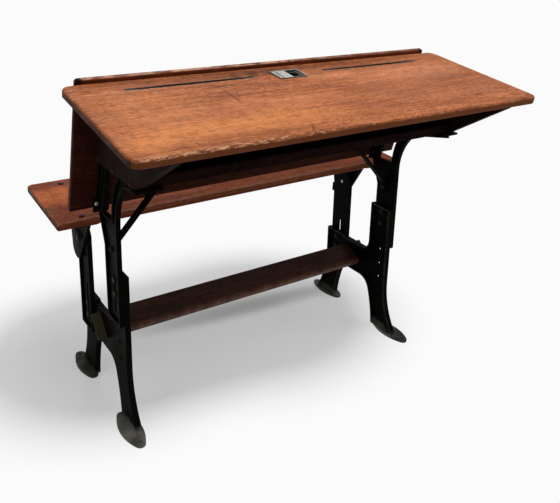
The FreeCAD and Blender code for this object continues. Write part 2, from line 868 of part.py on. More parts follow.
def slotTool(name, y, low, high):
    """Upright slot through an upper casting's web."""
    radius = s.clampRadius + s.slotFit
    sketch = looseSketch(name + "Outline", upperInner - s.overrun, zero, zero, sideTurn, [
        (y + radius, low), (y + radius, high, radius, 1), (y, high + radius, radius, 1),
        (y - radius, high), (y - radius, low, radius, 1), (y, low - radius, radius, 1)])
    return extrude(name, sketch, vector(1, 0, 0), s.upperDepth + s.overrun * 2)


def makeUpperStandard():
    half = s.trunkWidth / 2
    front = fromFront(s.rowSetback - half)
    rear = fromFront(s.rowSetback + half)
    top = s.boxBottomHeight - s.armFlangeThick
    lugDepth = s.lugThick / cosine(s.backboardAngle)
    branchBack = s.rearBranchWidth + lugDepth
    tipY = fromFront(s.armTipSetback)
    innerTop = top - s.crotchHeight
    crotchY = front + s.branchWidth
    bend = s.armInnerRadius * s.armInnerRadius - innerTop * innerTop
    innerTopY = crotchY - s.armInnerRadius + root(bend)
    outerBend = s.armOuterRadius * s.armOuterRadius - s.armOuterRise * s.armOuterRise
    outerTopY = front - s.armOuterRadius + root(outerBend)

    outline = looseSketch("UpperOutline", upperInner, zero, zero, sideTurn, [
        (front, s.trunkBottom), (rear, s.trunkBottom), (rear, s.rearBranchShoulder),
        (backboardFace(s.rearBranchFoot) - lugDepth, s.rearBranchFoot),
        (backboardFace(top) - lugDepth, top),
        (backboardFace(top) - branchBack, top),
        (backboardFace(s.crotchHeight) - branchBack, s.crotchHeight),
        (crotchY, s.crotchHeight, s.armInnerRadius, 1),
        (innerTopY, top), (tipY, top),
        (tipY, top - s.armTipDepth / 2),
        (outerTopY, s.trunkSplit + s.armOuterRise, s.armOuterRadius, -1),
        (front, s.trunkSplit)])
    pieces = rimmedCasting("Upper", outline, None, vector(1, 0, 0), s.upperDepth, s.upperWeb)

    # Flange under the shelf, at the front arm, and the wide lug at its tip
    for name, wide, length in (("ArmFlange", s.armFlangeWide, s.armFlangeLength),
                               ("ArmLug", s.armLugWide, s.armLugLength)):
        flange = doc.addObject("Part::Box", name)
        bind(flange, "Length", wide)
        bind(flange, "Width", length)
        bind(flange, "Height", s.armFlangeThick)
        place(flange, upperCentre - wide / 2, tipY, top)
        pieces.append(flange)

    # Flange up the backboard's face, and the wide lug for its bolts
    def lug(name, low, high, wide):
        sketch = looseSketch(name + "Outline", upperCentre - wide / 2, zero, zero, sideTurn, [
            (backboardFace(low), low), (backboardFace(high), high),
            (backboardFace(high) - lugDepth, high), (backboardFace(low) - lugDepth, low)])
        return extrude(name, sketch, vector(1, 0, 0), wide)
    foot = s.rearBranchFoot
    pieces.append(lug("BranchFlange", foot, s.boxBottomHeight, s.upperDepth * 2))
    pieces.append(lug("BoltLug", foot, foot + s.lugHeight, s.lugWide))
    whole = fuse("UpperWhole", pieces)

    slot = slotTool("FrontSlot", fromFront(s.rowSetback), s.frontClampLow - s.deskRaise,
                    s.frontClampHigh + s.deskLower)
    standard = keep("upper_standard_right", cut("UpperStandard", whole, slot))
    mirrored("upper_standard_left", standard)


def makeSeatPost():
    centre = fromFront(s.postSetback)
    half = s.postWidth / 2
    neck = s.pivotHeight + root(s.headRadius * s.headRadius - half * half)
    outline = looseSketch("PostOutline", upperInner, zero, zero, sideTurn, [
        (centre - half, s.postBottom), (centre + half, s.postBottom),
        (centre + half, neck, s.headRadius, 1), (centre - half, neck)])
    inner = half - s.rimWidth
    hollow = looseSketch("PostHollowOutline", upperInner, zero, zero, sideTurn, squareBox(
        centre - inner, centre + inner, s.postBottom + s.rimWidth,
        s.pivotHeight - s.headRadius + s.rimWidth))
    pieces = rimmedCasting("Post", outline, hollow, vector(1, 0, 0), s.upperDepth, s.upperWeb)
    pieces.append(cylinder("PivotBoss", s.pivotBossRadius, s.upperDepth, upperInner, centre,
                           s.pivotHeight, alongX, quarter))
    whole = fuse("PostWhole", pieces)
    low = s.rearClampLow - s.seatRaise
    slot = slotTool("RearSlot", centre, low, s.rearClampHigh + s.seatLower)
    hole = cylinder("PivotHole", s.pivotRadius + s.pivotFit, s.upperDepth + s.overrun * 2,
                    upperInner - s.overrun, centre, s.pivotHeight, alongX, quarter)
    tools = doc.addObject("Part::MultiFuse", "PostHoles")
    tools.Shapes = [slot, hole]
    post = keep("seat_post_right", cut("SeatPost", whole, tools))
    mirrored("seat_post_left", post)


# Braces from the standards up to the shelf

def makeBrace():
    body = newBody("Brace")
    sketch = bodySketch(body, "XZ_Plane", -fromFront(s.braceSetback), "Strap")
    outer = upperInner
    inner = upperInner - s.braceThick
    top = s.boxBottomHeight
    footDrop = s.braceThick * s.braceFootShare
    topDrop = s.braceThick * s.braceTopShare
    tabEnd = s.braceTopX - s.braceTab
    drawOutline(sketch, [
        (inner, s.braceFootHeight - s.braceTab), (outer, s.braceFootHeight - s.braceTab),
        (outer, s.braceFootHeight), (s.braceTopX, top), (tabEnd, top),
        (tabEnd, top - s.braceThick), (s.braceTopX - topDrop, top - s.braceThick),
        (inner, s.braceFootHeight - footDrop)])
    extend(body, sketch, s.braceWidth, midplane=True)
    keep("brace_right", body)
    mirrored("brace_left", body)


# Footrest board between the side frames

def makeFootrest():
    body = newBody("Footrest")
    sketch = bodySketch(body, "YZ_Plane", zero, "Section")
    drawOutline(sketch, squareBox(zero, s.footrestWidth, -s.footrestThick, zero))
    board = extend(body, sketch, (s.frameHalfGauge - s.webThick) * 2, midplane=True)

    def frontEdge(edge):
        along = edge.BoundBox.XLength > s.footrestWidth.value
        return along and edge.BoundBox.YMax < s.footrestRound.value
    softenEdges(body, board, "Fillet", s.footrestRound, frontEdge)
    place(body, zero, fromFront(s.footrestSetback), s.footrestHeight, vector(1, 0, 0),
          s.footrestAngle)
    keep("footrest", body)


# Seat board and the brackets it folds on

def seatBoardDepth():
    return (s.overallDepth - s.seatSetback) / cosine(s.seatAngle)


def placeOnSeat(body):
    place(body, zero, fromFront(s.seatSetback), s.seatFrontHeight, vector(1, 0, 0), s.seatAngle)


def makeSeat():
    body = newBody("Seat")
    half = s.seatLength / 2
    sketch = bodySketch(body, "XY_Plane", zero, "Board")
    drawOutline(sketch, roundedBox(-half, half, zero, seatBoardDepth(), s.seatRearCorner,
                                   s.seatFrontCorner))
    board = extend(body, sketch, s.seatThick, reverse=True)
    softenEdges(body, board, "Chamfer", s.seatBevel,
                lambda edge: edge.BoundBox.ZLength < s.seatBevel.value)
    placeOnSeat(body)
    keep("seat_board", body)


def makeSeatBracket():
    body = newBody("SeatBracket")
    depth = seatBoardDepth()
    front, rear = s.bracketFrontInset, depth - s.bracketRearInset
    sketch = bodySketch(body, "XY_Plane", -s.seatThick, "Flange")
    drawOutline(sketch, roundedBox(s.bracketFlangeInner, s.bracketFlangeOuter, front, rear,
                                   s.bracketCorner))
    extend(body, sketch, s.bracketFlangeThick, reverse=True)
    # The pivot, seen from the seat board's own frame
    slope = s.seatAngle
    run = s.postSetback - s.seatSetback
    rise = s.pivotHeight - s.seatFrontHeight
    pivotY = run * cosine(slope) + rise * sine(slope)
    pivotZ = rise * cosine(slope) - run * sine(slope)
    webInner = upperOuter + s.bracketGap
    under = -(s.seatThick + s.bracketFlangeThick)
    tailY, tailZ, turn = pivotY + s.tailRun, pivotZ - s.tailDrop, s.tailAngle
    frontTop, rearTop = (front + s.gussetFrontInset, under), (rear - s.gussetRearInset, under)
    frontFoot = (tailY - s.tailRadius * cosine(turn), tailZ - s.tailRadius * sine(turn))
    rearFoot = (tailY + s.tailRadius, tailZ)
    sketch = bodySketch(body, "YZ_Plane", webInner, "Web")
    drawOutline(sketch, [(*frontFoot, s.tailRadius, 1), rearFoot, rearTop, frontTop])
    extend(body, sketch, s.bracketWeb)

    # Shallow recess in the outer face, above the pivot's head
    def edgeAt(top, foot, height):
        return top[0] + (foot[0] - top[0]) * (top[1] - height) / (top[1] - foot[1])
    high, low = under - s.recessRim, pivotZ + s.pivotHeadRadius + s.recessRim / 2
    sketch = bodySketch(body, "YZ_Plane", webInner + s.bracketWeb, "Recess")
    drawOutline(sketch, [
        (edgeAt(frontTop, frontFoot, low) + s.recessRim, low),
        (edgeAt(rearTop, rearFoot, low) - s.recessRim, low),
        (edgeAt(rearTop, rearFoot, high) - s.recessRim, high),
        (edgeAt(frontTop, frontFoot, high) + s.recessRim, high)])
    extend(body, sketch, s.recessDepth, "PartDesign::Pocket")

    # Stop lug, just behind the post's rear edge when the seat is down
    lugFront = pivotY + (s.postWidth / 2 + s.stopGap - s.lugDrop * sine(slope)) / cosine(slope)
    lugTop = pivotZ - s.lugDrop
    sketch = bodySketch(body, "YZ_Plane", webInner, "StopLug")
    drawOutline(sketch, squareBox(lugFront, lugFront + s.lugDeep, lugTop - s.lugTall, lugTop))
    extend(body, sketch, s.lugReach, reverse=True)
    sketch = bodySketch(body, "YZ_Plane", webInner, "PivotHole")
    drawCircle(sketch, pivotY, pivotZ, s.pivotRadius + s.pivotFit)
    extend(body, sketch, s.bracketWeb + s.overrun, "PartDesign::Pocket", reverse=True)
    placeOnSeat(body)
    keep("seat_bracket_right", body)
    mirrored("seat_bracket_left", body)


# Fasteners, made once and copied to their places

def squareBlock(across, thick):
    return Part.makeBox(across, across, thick, vector(-across / 2, -across / 2, 0))


def aim(shape, point, direction):
    turned = shape.copy()
    turned.Placement = FreeCAD.Placement(point, FreeCAD.Rotation(vector(0, 0, 1), direction))
    return turned


def group(label, shapes):
    feature = doc.addObject("Part::Feature", label)
    feature.Shape = Part.makeCompound(shapes)
    return keep(label, feature)


def bothSides(right):
    """The right-hand shape and its mirror image."""
    return [right, right.mirror(vector(0, 0, 0), vector(1, 0, 0))]


def makeClampBolts():
    headX = (upperWebOuter + s.slideGap).value
    nutX = (s.frameHalfGauge - s.webThick).value
    length = headX - (s.frameHalfGauge - s.lowerDepth).value
    shank = Part.makeCylinder(s.clampRadius.value, length, vector(0, 0, -length))
    bolt = shank.fuse(squareBlock(s.clampHeadAcross.value, s.clampHeadHigh.value))
    nut = squareBlock(s.nutAcross.value, s.nutThick.value)
    nut = nut.cut(Part.makeCylinder((s.clampRadius + s.clampHoleFit).value, s.nutThick.value))
    bolts, nuts = [], []
    places = [(s.rowSetback, s.frontClampHigh), (s.rowSetback, s.frontClampLow),
              (s.postSetback, s.rearClampHigh), (s.postSetback, s.rearClampLow)]
    for setback, height in places:
        y, z = fromFront(setback).value, height.value
        bolts += bothSides(aim(bolt, vector(headX, y, z), vector(1, 0, 0)))
        nuts += bothSides(aim(nut, vector(nutX, y, z), vector(-1, 0, 0)))
    group("clamp_bolts", bolts)
    group("clamp_nuts", nuts)


def makePivotPins():
    length = (s.upperDepth + s.bracketWeb + s.bracketGap * 2).value
    pin = Part.makeCylinder(s.pivotRadius.value, length, vector(0, 0, -length))
    pin = pin.fuse(Part.makeCylinder(s.pivotHeadRadius.value, s.pivotHeadHigh.value))
    outer = vector(upperInner.value + length, fromFront(s.postSetback).value,
                   s.pivotHeight.value)
    group("pivot_pins", bothSides(aim(pin, outer, vector(1, 0, 0))))


for make in (makeDesktop, makeInkwellPlate, makeInkwellCover, makeInkwellCup, makeBackboard,
             makeBookBox, makeLowerCasting, makeUpperStandard, makeSeatPost, makeBrace,
             makeFootrest, makeSeat, makeSeatBracket, makeClampBolts, makePivotPins):
    make()
doc.recompute()

# Every object and every sub-part is checked before anything is written
for thing in doc.Objects:
    if {"Invalid", "Error"} & set(thing.State):
        raise RuntimeError(f"{thing.Name} ({thing.Label}) is {thing.State}")
for label, thing in nodes.items():
    if thing.Shape.isNull() or not thing.Shape.isValid():
        raise RuntimeError(f"{label} has no valid shape")
for label, thing in nodes.items():
    thing.Shape.exportStep(f"parts/{label}.step")
    box = thing.Shape.BoundBox
    print(f"{label}: {len(thing.Shape.Solids)} solids, {thing.Shape.Volume:.0f} mm3,",
          f"X {box.XMin:.1f}..{box.XMax:.1f} Y {box.YMin:.1f}..{box.YMax:.1f}",
          f"Z {box.ZMin:.1f}..{box.ZMax:.1f}")
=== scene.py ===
import math

import bpy
from mathutils import Matrix, Vector


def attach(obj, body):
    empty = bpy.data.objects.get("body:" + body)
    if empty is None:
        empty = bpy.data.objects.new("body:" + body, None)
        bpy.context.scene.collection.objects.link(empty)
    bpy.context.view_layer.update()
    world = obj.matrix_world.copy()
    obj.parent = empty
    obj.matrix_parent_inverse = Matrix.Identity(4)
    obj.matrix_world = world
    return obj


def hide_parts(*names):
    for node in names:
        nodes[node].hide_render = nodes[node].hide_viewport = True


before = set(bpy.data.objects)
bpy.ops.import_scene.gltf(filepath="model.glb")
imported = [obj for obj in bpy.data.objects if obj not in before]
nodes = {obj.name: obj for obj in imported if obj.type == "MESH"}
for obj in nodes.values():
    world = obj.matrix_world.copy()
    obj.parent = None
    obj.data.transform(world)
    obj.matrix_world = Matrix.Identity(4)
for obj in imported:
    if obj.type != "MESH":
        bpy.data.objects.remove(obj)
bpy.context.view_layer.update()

mm = 0.001

# Lines of the desk that several pieces and patterns follow
deskTilt = math.radians(8.25)  # the writing board's slope
deskEdge = Vector((0, -0.354, 0.769))  # middle of its front top edge
seatTilt = math.radians(3.64)  # the seat's slope
seatEdge = Vector((0, 0.104, 0.488))  # middle of the seat's front top edge
boardTilt = math.radians(90 + 16.5)  # the backboard leans back 16.5 degrees
boardFoot = Vector((0, 0.0952, 0.5237))  # its lower edge, in front
backEdge = Vector((0, 0.10575, 0.52361))  # its lower edge, behind
restTilt = math.radians(27)  # the footrest's slope
restEdge = Vector((0, 0.111, 0.177))  # middle of its front top edge
print("frame loaded:", len(nodes), "nodes")


# Camera, placed as the photograph was taken
view = {"place": (-0.9019, -1.3430, 1.1177), "turn": 34.9, "down": 16.95, "roll": 1.81,
        "lens": 44.9, "sensor": 36, "shiftX": -0.0127, "shiftY": -0.1864}


def addCamera():
    turn, down, roll = (math.radians(view[k]) for k in ("turn", "down", "roll"))
    ahead = Vector((math.sin(turn) * math.cos(down), math.cos(turn) * math.cos(down),
                    -math.sin(down)))
    level = Vector((math.cos(turn), -math.sin(turn), 0))
    over = level.cross(ahead)
    right = level * math.cos(roll) + over * math.sin(roll)
    up = over * math.cos(roll) - level * math.sin(roll)
    aim = Matrix((right, up, -ahead)).transposed().to_4x4()
    camera = bpy.data.objects.new("camera", bpy.data.cameras.new("camera"))
    bpy.context.collection.objects.link(camera)
    camera.matrix_world = Matrix.Translation(view["place"]) @ aim
    camera.data.lens = view["lens"]
    camera.data.sensor_width = view["sensor"]
    camera.data.shift_x = view["shiftX"]
    camera.data.shift_y = view["shiftY"]
    bpy.context.scene.camera = camera


addCamera()


# Small helpers for shader nodes
def put(tree, kind, **settings):
    node = tree.nodes.new(kind)
    for name, value in settings.items():
        setattr(node, name, value)
    return node


def feed(tree, socket, value):
    if isinstance(value, bpy.types.NodeSocket):
        tree.links.new(value, socket)
    else:
        socket.default_value = value


def maths(tree, how, a, b=0.0, clamp=False):
    node = put(tree, "ShaderNodeMath", operation=how, use_clamp=clamp)
    feed(tree, node.inputs[0], a)
    feed(tree, node.inputs[1], b)
    return node.outputs[0]


def times(tree, a, b):
    return maths(tree, "MULTIPLY", a, b)


def plus(tree, a, b):
    return maths(tree, "ADD", a, b)


def higher(tree, a, b):
    return maths(tree, "MAXIMUM", a, b)


# How far a value lies from a place, to either side
def away(tree, value, place):
    return maths(tree, "ABSOLUTE", maths(tree, "SUBTRACT", value, place))


def blendColour(tree, share, a, b):
    node = put(tree, "ShaderNodeMix", data_type="RGBA")
    feed(tree, node.inputs[0], share)
    for socket, colour in ((node.inputs[6], a), (node.inputs[7], b)):
        feed(tree, socket, colour if isinstance(colour, bpy.types.NodeSocket) else (*colour, 1))
    return node.outputs[2]


# Smooth step from a at low to b at high
def ramp(tree, value, low, high, a=0.0, b=1.0):
    node = put(tree, "ShaderNodeMapRange", interpolation_type="SMOOTHSTEP")
    for socket, number in zip(node.inputs[:5], (value, low, high, a, b)):
        feed(tree, socket, number)
    return node.outputs[0]


# The same step down, from 1 to 0
def fall(tree, value, low, high):
    return ramp(tree, value, low, high, 1.0, 0.0)


def noise(tree, where, scale, detail, rough=0.5):
    node = put(tree, "ShaderNodeTexNoise")
    feed(tree, node.inputs["Vector"], where)
    feed(tree, node.inputs["Scale"], scale)
    feed(tree, node.inputs["Detail"], detail)
    feed(tree, node.inputs["Roughness"], rough)
    return node.outputs[0]


noiseMiddle = 0.5


# Noise stepped into a mask: kind is its scale, detail and roughness, and steps are its low
# and high, then what it gives there if that isn't 0 and 1
def patches(tree, where, kind, steps):
    return ramp(tree, noise(tree, where, *kind), *steps)


def mapped(tree, where, place=(0, 0, 0), turn=(0, 0, 0), size=(1, 1, 1)):
    node = put(tree, "ShaderNodeMapping")
    feed(tree, node.inputs["Vector"], where)
    feed(tree, node.inputs["Location"], place)
    feed(tree, node.inputs["Rotation"], turn)
    feed(tree, node.inputs["Scale"], size)
    return node.outputs[0]


def separate(tree, where):
    node = put(tree, "ShaderNodeSeparateXYZ")
    feed(tree, node.inputs[0], where)
    return node.outputs


# Distance from the centre of an ellipse turned by some degrees, 1 at its rim
def reachOf(tree, where, centre, radii, turn):
    moved = mapped(tree, where, place=(-centre[0], -centre[1], 0))
    turned = mapped(tree, moved, turn=(0, 0, -math.radians(turn)))
    node = put(tree, "ShaderNodeVectorMath", operation="LENGTH")
    feed(tree, node.inputs[0], mapped(tree, turned, size=(1 / radii[0], 1 / radii[1], 0)))
    return node.outputs["Value"]


# Studio: pale floor, soft lamps, white behind everything
studio = {"floorSize": 60, "floorColour": (0.68, 0.68, 0.68, 1), "floorRough": 0.85,
          "floorSpecular": 0.1, "worldLight": 0.30, "white": (0.965, 0.965, 0.965, 1)}
shadow = {
    # centre, radii and turn of the floor areas where the desk's shadow shows
    "areas": (((-0.338, 0.327), (0.328, 0.311), -39), ((0.108, 0.288), (0.374, 0.344), -12)),
    "fade": (0.355, 1.59), "least": 0.36,
    # painted shadow: the darker band behind the footrest, where less plain white covers the grey
    # floor
    "shadowBand": ((0.09, 0.322), (0.38, 0.058), -6), "bandFade": (0.2, 1.3, 0.25, 1.0)}
lamps = [
    # name, place, aimed at, size, watts
    ("lampOver", (0.25, -0.95, 2.95), (0, 0, 0.4), 2.3, 60),
    ("lampRight", (2.6, -1.6, 2.1), (0, 0, 0.5), 1.8, 12),
    ("lampLeft", (-2.8, -0.6, 1.9), (0, 0, 0.5), 1.6, 10),
    ("lampBehind", (0.6, 2.8, 2.2), (0, 0, 0.6), 1.6, 14)]


# 1 for the rays that see the background, straight on, mirrored or through glass
def seenRays(tree):
    path = put(tree, "ShaderNodeLightPath").outputs
    mirrored = higher(tree, path["Is Glossy Ray"], path["Is Transmission Ray"])
    return higher(tree, path["Is Camera Ray"], mirrored)


def mixShaders(tree, share, a, b, output):
    mix = put(tree, "ShaderNodeMixShader")
    for socket, value in zip(mix.inputs, (share, a, b)):
        feed(tree, socket, value)
    feed(tree, tree.nodes[output].inputs["Surface"], mix.outputs[0])


# 1 where the floor shows plain white, less towards the desk's shadow
def farFromDesk(tree):
    where = put(tree, "ShaderNodeTexCoord").outputs["Object"]
    far = 1.0
    for area in shadow["areas"]:
        far = times(tree, ramp(tree, reachOf(tree, where, *area), *shadow["fade"]), far)
    far = higher(tree, far, shadow["least"])
    shadowBand = ramp(tree, reachOf(tree, where, *shadow["shadowBand"]), *shadow["bandFade"])
    return times(tree, shadowBand, far)


def addFloor():
    bpy.ops.object.select_all(action="DESELECT")
    bpy.ops.mesh.primitive_plane_add(size=studio["floorSize"], location=(0, 0, 0))
    floor = bpy.context.object
    floor.name = "floor"
    paint = bpy.data.materials.new("floorPaint")
    paint.use_nodes = True
    tree = paint.node_tree
    surface = tree.nodes["Principled BSDF"]
    surface.inputs["Base Color"].default_value = studio["floorColour"]
    surface.inputs["Roughness"].default_value = studio["floorRough"]
    surface.inputs["Specular IOR Level"].default_value = studio["floorSpecular"]
    plain = put(tree, "ShaderNodeEmission")
    plain.inputs["Color"].default_value = studio["white"]
    share = times(tree, farFromDesk(tree), seenRays(tree))
    mixShaders(tree, share, surface.outputs[0], plain.outputs[0], "Material Output")
    floor.data.materials.append(paint)


def addWorld():
    world = bpy.data.worlds.new("studio")
    bpy.context.scene.world = world
    world.use_nodes = True
    tree = world.node_tree
    soft = tree.nodes["Background"]
    soft.inputs["Color"].default_value = (1, 1, 1, 1)
    soft.inputs["Strength"].default_value = studio["worldLight"]
    plain = put(tree, "ShaderNodeBackground")
    plain.inputs["Color"].default_value = studio["white"]
    mixShaders(tree, seenRays(tree), soft.outputs[0], plain.outputs[0], "World Output")


def addLamps():
    for name, place, target, size, watts in lamps:
        data = bpy.data.lights.new(name, "AREA")
        data.shape = "DISK"
        data.size = size
        data.energy = watts
        lamp = bpy.data.objects.new(name, data)
        bpy.context.collection.objects.link(lamp)
        lamp.location = place
        aim = Vector(target) - Vector(place)
        lamp.rotation_euler = aim.to_track_quat("-Z", "Y").to_euler()


addFloor()
addWorld()
addLamps()
bpy.context.scene.view_settings.view_transform = "Standard"
print("camera and studio ready")


# Node groups shared by the materials
def newGroup(name, inputs, outputs):
    group = bpy.data.node_groups.new(name, "ShaderNodeTree")
    group.interface.new_socket("Vector", in_out="INPUT", socket_type="NodeSocketVector")
    for label, value in inputs:
        socket = group.interface.new_socket(label, in_out="INPUT", socket_type="NodeSocketFloat")
        socket.default_value = value
    for label in outputs:
        group.interface.new_socket(label, in_out="OUTPUT", socket_type="NodeSocketFloat")
    return group, group.nodes.new("NodeGroupInput"), group.nodes.new("NodeGroupOutput")


grain = {
    "waves": ((2.2, 9, 9), (1.0, 2.0)),  # stretch and noise of the slow waves in the lines
    "wavesAcross": 3.0,
    # layers on the wavy lines: stretch, times Scale, detail and roughness, low and high
    "lines": {"Rings": ((1, 1, 1), 1.0, (4.0, 0.6), (0.36, 0.64)),
              "Streaks": ((1.4, 1, 1), 2.4, (4.0, 0.75), (0.42, 0.62)),
              "Pores": ((3.2, 1, 1), 5.0, (3.0, 0.75), (0.52, 0.64))},
    # layers of their own: stretch, noise, low and high
    "free": {"Tone": ((1.6, 8, 8), (2.2, 3.0), (0.3, 0.7)),
             "Flecks": ((1, 0.32, 1), (420.0, 2.0, 0.7), (0.60, 0.74)),
             "Mottle": ((0.3, 1, 1), (210.0, 4.0, 0.75), (0.44, 0.62))}}


# Grain of an open-pored hardwood that runs along the first axis of the vector it is given
def makeWoodGrain():
    group, given, out = newGroup(
        "woodGrain", [("Stretch", 12.0), ("Scale", 60.0), ("Wander", 0.012)],
        [*grain["lines"], *grain["free"]])
    where = given.outputs["Vector"]
    size, kind = grain["waves"]
    slow = noise(group, mapped(group, where, size=size), *kind)
    shift = maths(group, "SUBTRACT", slow, noiseMiddle)
    shift = times(group, shift, given.outputs["Wander"])
    parts = separate(group, where)
    along = maths(group, "DIVIDE", parts[0], given.outputs["Stretch"])
    across = plus(group, parts[1], times(group, shift, grain["wavesAcross"]))
    joined = put(group, "ShaderNodeCombineXYZ")
    for socket, value in zip(joined.inputs, (along, across, parts[2])):
        feed(group, socket, value)
    for label, (size, finer, kind, steps) in grain["lines"].items():
        vector = mapped(group, joined.outputs[0], size=size)
        scale = times(group, given.outputs["Scale"], finer)
        feed(group, out.inputs[label], patches(group, vector, (scale, *kind), steps))
    for label, (size, kind, steps) in grain["free"].items():
        vector = mapped(group, where, size=size)
        feed(group, out.inputs[label], patches(group, vector, kind, steps))
    return group


scratches = {"runs": ((0.5, 9.0), (-0.9, 7.0), (1.4, 11.0)),  # turn and stretch
             "length": 0.12, "patch": (6.0, 1.0), "patchSteps": (0.56, 0.66)}


# Thin scratches in three directions
def makeScratches():
    group, given, out = newGroup("scratches", [("Scale", 14.0), ("Width", 0.006)], ["Mask"])
    mask = 0.0
    for turn, stretch in scratches["runs"]:
        turned = mapped(group, given.outputs["Vector"], turn=(0, 0, turn), size=(1, stretch, 1))
        cells = put(group, "ShaderNodeTexVoronoi", feature="DISTANCE_TO_EDGE")
        drawn = mapped(group, turned, size=(scratches["length"], 1, 1))
        feed(group, cells.inputs["Vector"], drawn)
        feed(group, cells.inputs["Scale"], given.outputs["Scale"])
        line = fall(group, cells.outputs["Distance"], 0.0, given.outputs["Width"])
        patch = patches(group, turned, scratches["patch"], scratches["patchSteps"])
        mask = higher(group, times(group, line, patch), mask)
    feed(group, out.inputs["Mask"], mask)
    return group


castSkin = {"sand": (520.0, 3.0, 0.7), "sandShare": 0.5, "dents": (60.0, 2.0),
            "worn": (34.0, 5.0, 0.7), "wornSteps": (0.60, 0.72),
            "bloom": (7.0, 4.0, 0.6), "bloomSteps": (0.38, 0.66)}


# Cast iron skin: sandy texture with soft dents, worn spots and a dusty bloom
def makeCastSkin():
    group, given, out = newGroup("castSkin", [], ["Height", "Worn", "Bloom"])
    where = given.outputs["Vector"]
    sand = times(group, noise(group, where, *castSkin["sand"]), castSkin["sandShare"])
    height = plus(group, sand, noise(group, where, *castSkin["dents"]))
    feed(group, out.inputs["Height"], height)
    feed(group, out.inputs["Worn"], patches(group, where, castSkin["worn"], castSkin["wornSteps"]))
    feed(group, out.inputs["Bloom"],
         patches(group, where, castSkin["bloom"], castSkin["bloomSteps"]))
    return group


grainGroup = makeWoodGrain()
scratchGroup = makeScratches()
castGroup = makeCastSkin()


def useGroup(tree, group, **values):
    node = put(tree, "ShaderNodeGroup", node_tree=group)
    for name, value in values.items():
        feed(tree, node.inputs[name], value)
    return node.outputs


def newMaterial(name):
    material = bpy.data.materials.new(name)
    material.use_nodes = True
    tree = material.node_tree
    where = put(tree, "ShaderNodeTexCoord").outputs["Object"]
    return material, tree, tree.nodes["Principled BSDF"], where


def bump(tree, surface, height, strength, depth):
    node = put(tree, "ShaderNodeBump")
    node.inputs["Strength"].default_value = strength
    node.inputs["Distance"].default_value = depth
    feed(tree, node.inputs["Height"], height)
    feed(tree, surface.inputs["Normal"], node.outputs[0])


# Object coordinates turned into a board's own: X along it, Y across it, Z out of its face
def boardVector(tree, where, origin, tilt):
    back = Matrix.Rotation(-tilt, 3, "X") @ Vector(origin)
    return mapped(tree, where, place=tuple(-back), turn=(-tilt, 0, 0))


# Lays a tint over the colour where the mask is 1, as strongly as share says
def stain(tree, colour, mask, share, tint):
    return blendColour(tree, times(tree, mask, share), colour, tint)


woodSkin = {"fleckShare": 0.25, "frayed": (40.0, 3.0, 0.7), "frayedSteps": (0.35, 0.6, 0.4, 1.0),
            "markEdge": (0.4, 1.6), "dull": (18.0, 4.0, 0.6), "dullSteps": (0.25, 0.75),
            "poreRough": 0.15, "poreDeep": -1.0, "scratchDeep": -1.2, "ringHigh": 0.3,
            "depth": 0.0006}


# Varnished hardwood. look gives its colours and finish, marks are ellipses tinted lighter or
# darker
def woodMaterial(name, look, board=(Vector(), 0.0), marks=(), touch=None):
    material, tree, surface, where = newMaterial(name)
    along = boardVector(tree, where, *board)
    layers = useGroup(tree, grainGroup, Vector=along, Stretch=look["stretch"],
                      Scale=look["scale"])
    scratch = useGroup(tree, scratchGroup, Vector=along)["Mask"]
    colour = blendColour(tree, layers["Rings"], look["light"], look["mid"])
    for layer, share, tint in (("Tone", look["toneShare"], look["dark"]),
                               ("Streaks", look["streakShare"], look["dark"]),
                               ("Mottle", look["mottleShare"], look["dark"]),
                               ("Pores", look["poreShare"], look["pore"]),
                               ("Flecks", woodSkin["fleckShare"], look["light"])):
        colour = stain(tree, colour, layers[layer], share, tint)
    frayed = patches(tree, along, woodSkin["frayed"], woodSkin["frayedSteps"])
    for centre, radii, turn, tint, share in marks:
        spot = fall(tree, reachOf(tree, along, centre, radii, turn), *woodSkin["markEdge"])
        colour = stain(tree, colour, times(tree, spot, frayed), share, tint)
    colour = stain(tree, colour, scratch, look["scratchShare"], look["scratch"])
    dull = patches(tree, along, woodSkin["dull"], (*woodSkin["dullSteps"], *look["shine"]))
    rougher = times(tree, layers["Pores"], woodSkin["poreRough"])
    if touch:
        colour = touch(tree, along, colour)
    feed(tree, surface.inputs["Base Color"], colour)
    feed(tree, surface.inputs["Roughness"], maths(tree, "ADD", dull, rougher, clamp=True))
    surface.inputs["Specular IOR Level"].default_value = look["specular"]
    height = plus(tree, times(tree, layers["Pores"], woodSkin["poreDeep"]),
                  times(tree, scratch, woodSkin["scratchDeep"]))
    height = plus(tree, height, times(tree, layers["Rings"], woodSkin["ringHigh"]))
    bump(tree, surface, height, look["relief"], woodSkin["depth"])
    return material


oakLook = {"light": (0.66, 0.232, 0.090), "mid": (0.40, 0.128, 0.050),
           "dark": (0.16, 0.045, 0.018), "pore": (0.10, 0.025, 0.010),
           "scratch": (0.10, 0.040, 0.025), "scratchShare": 0.35, "toneShare": 0.38,
           "streakShare": 0.55, "mottleShare": 0.60, "poreShare": 0.78, "stretch": 14.0,
           "scale": 85.0, "shine": (0.42, 0.62), "specular": 0.03, "relief": 0.7}
seatLook = dict(oakLook, light=(0.46, 0.112, 0.036), mid=(0.27, 0.058, 0.021),
                dark=(0.10, 0.021, 0.009), streakShare=0.7)
darkLook = dict(oakLook, light=(0.070, 0.015, 0.006), mid=(0.040, 0.008, 0.0035),
                dark=(0.020, 0.004, 0.002), pore=(0.010, 0.003, 0.002),
                scratch=(0.14, 0.07, 0.045), scratchShare=0.25, shine=(0.34, 0.50),
                specular=0.025)
boxLook = dict(darkLook, light=(0.024, 0.009, 0.008), mid=(0.012, 0.0045, 0.004),
               dark=(0.008, 0.003, 0.003), pore=(0.005, 0.003, 0.003), shine=(0.5, 0.7),
               specular=0.015)
footrestLook = dict(darkLook, light=(0.086, 0.032, 0.020), mid=(0.045, 0.016, 0.011),
                    dark=(0.020, 0.008, 0.006), specular=0.09, streakShare=0.25)

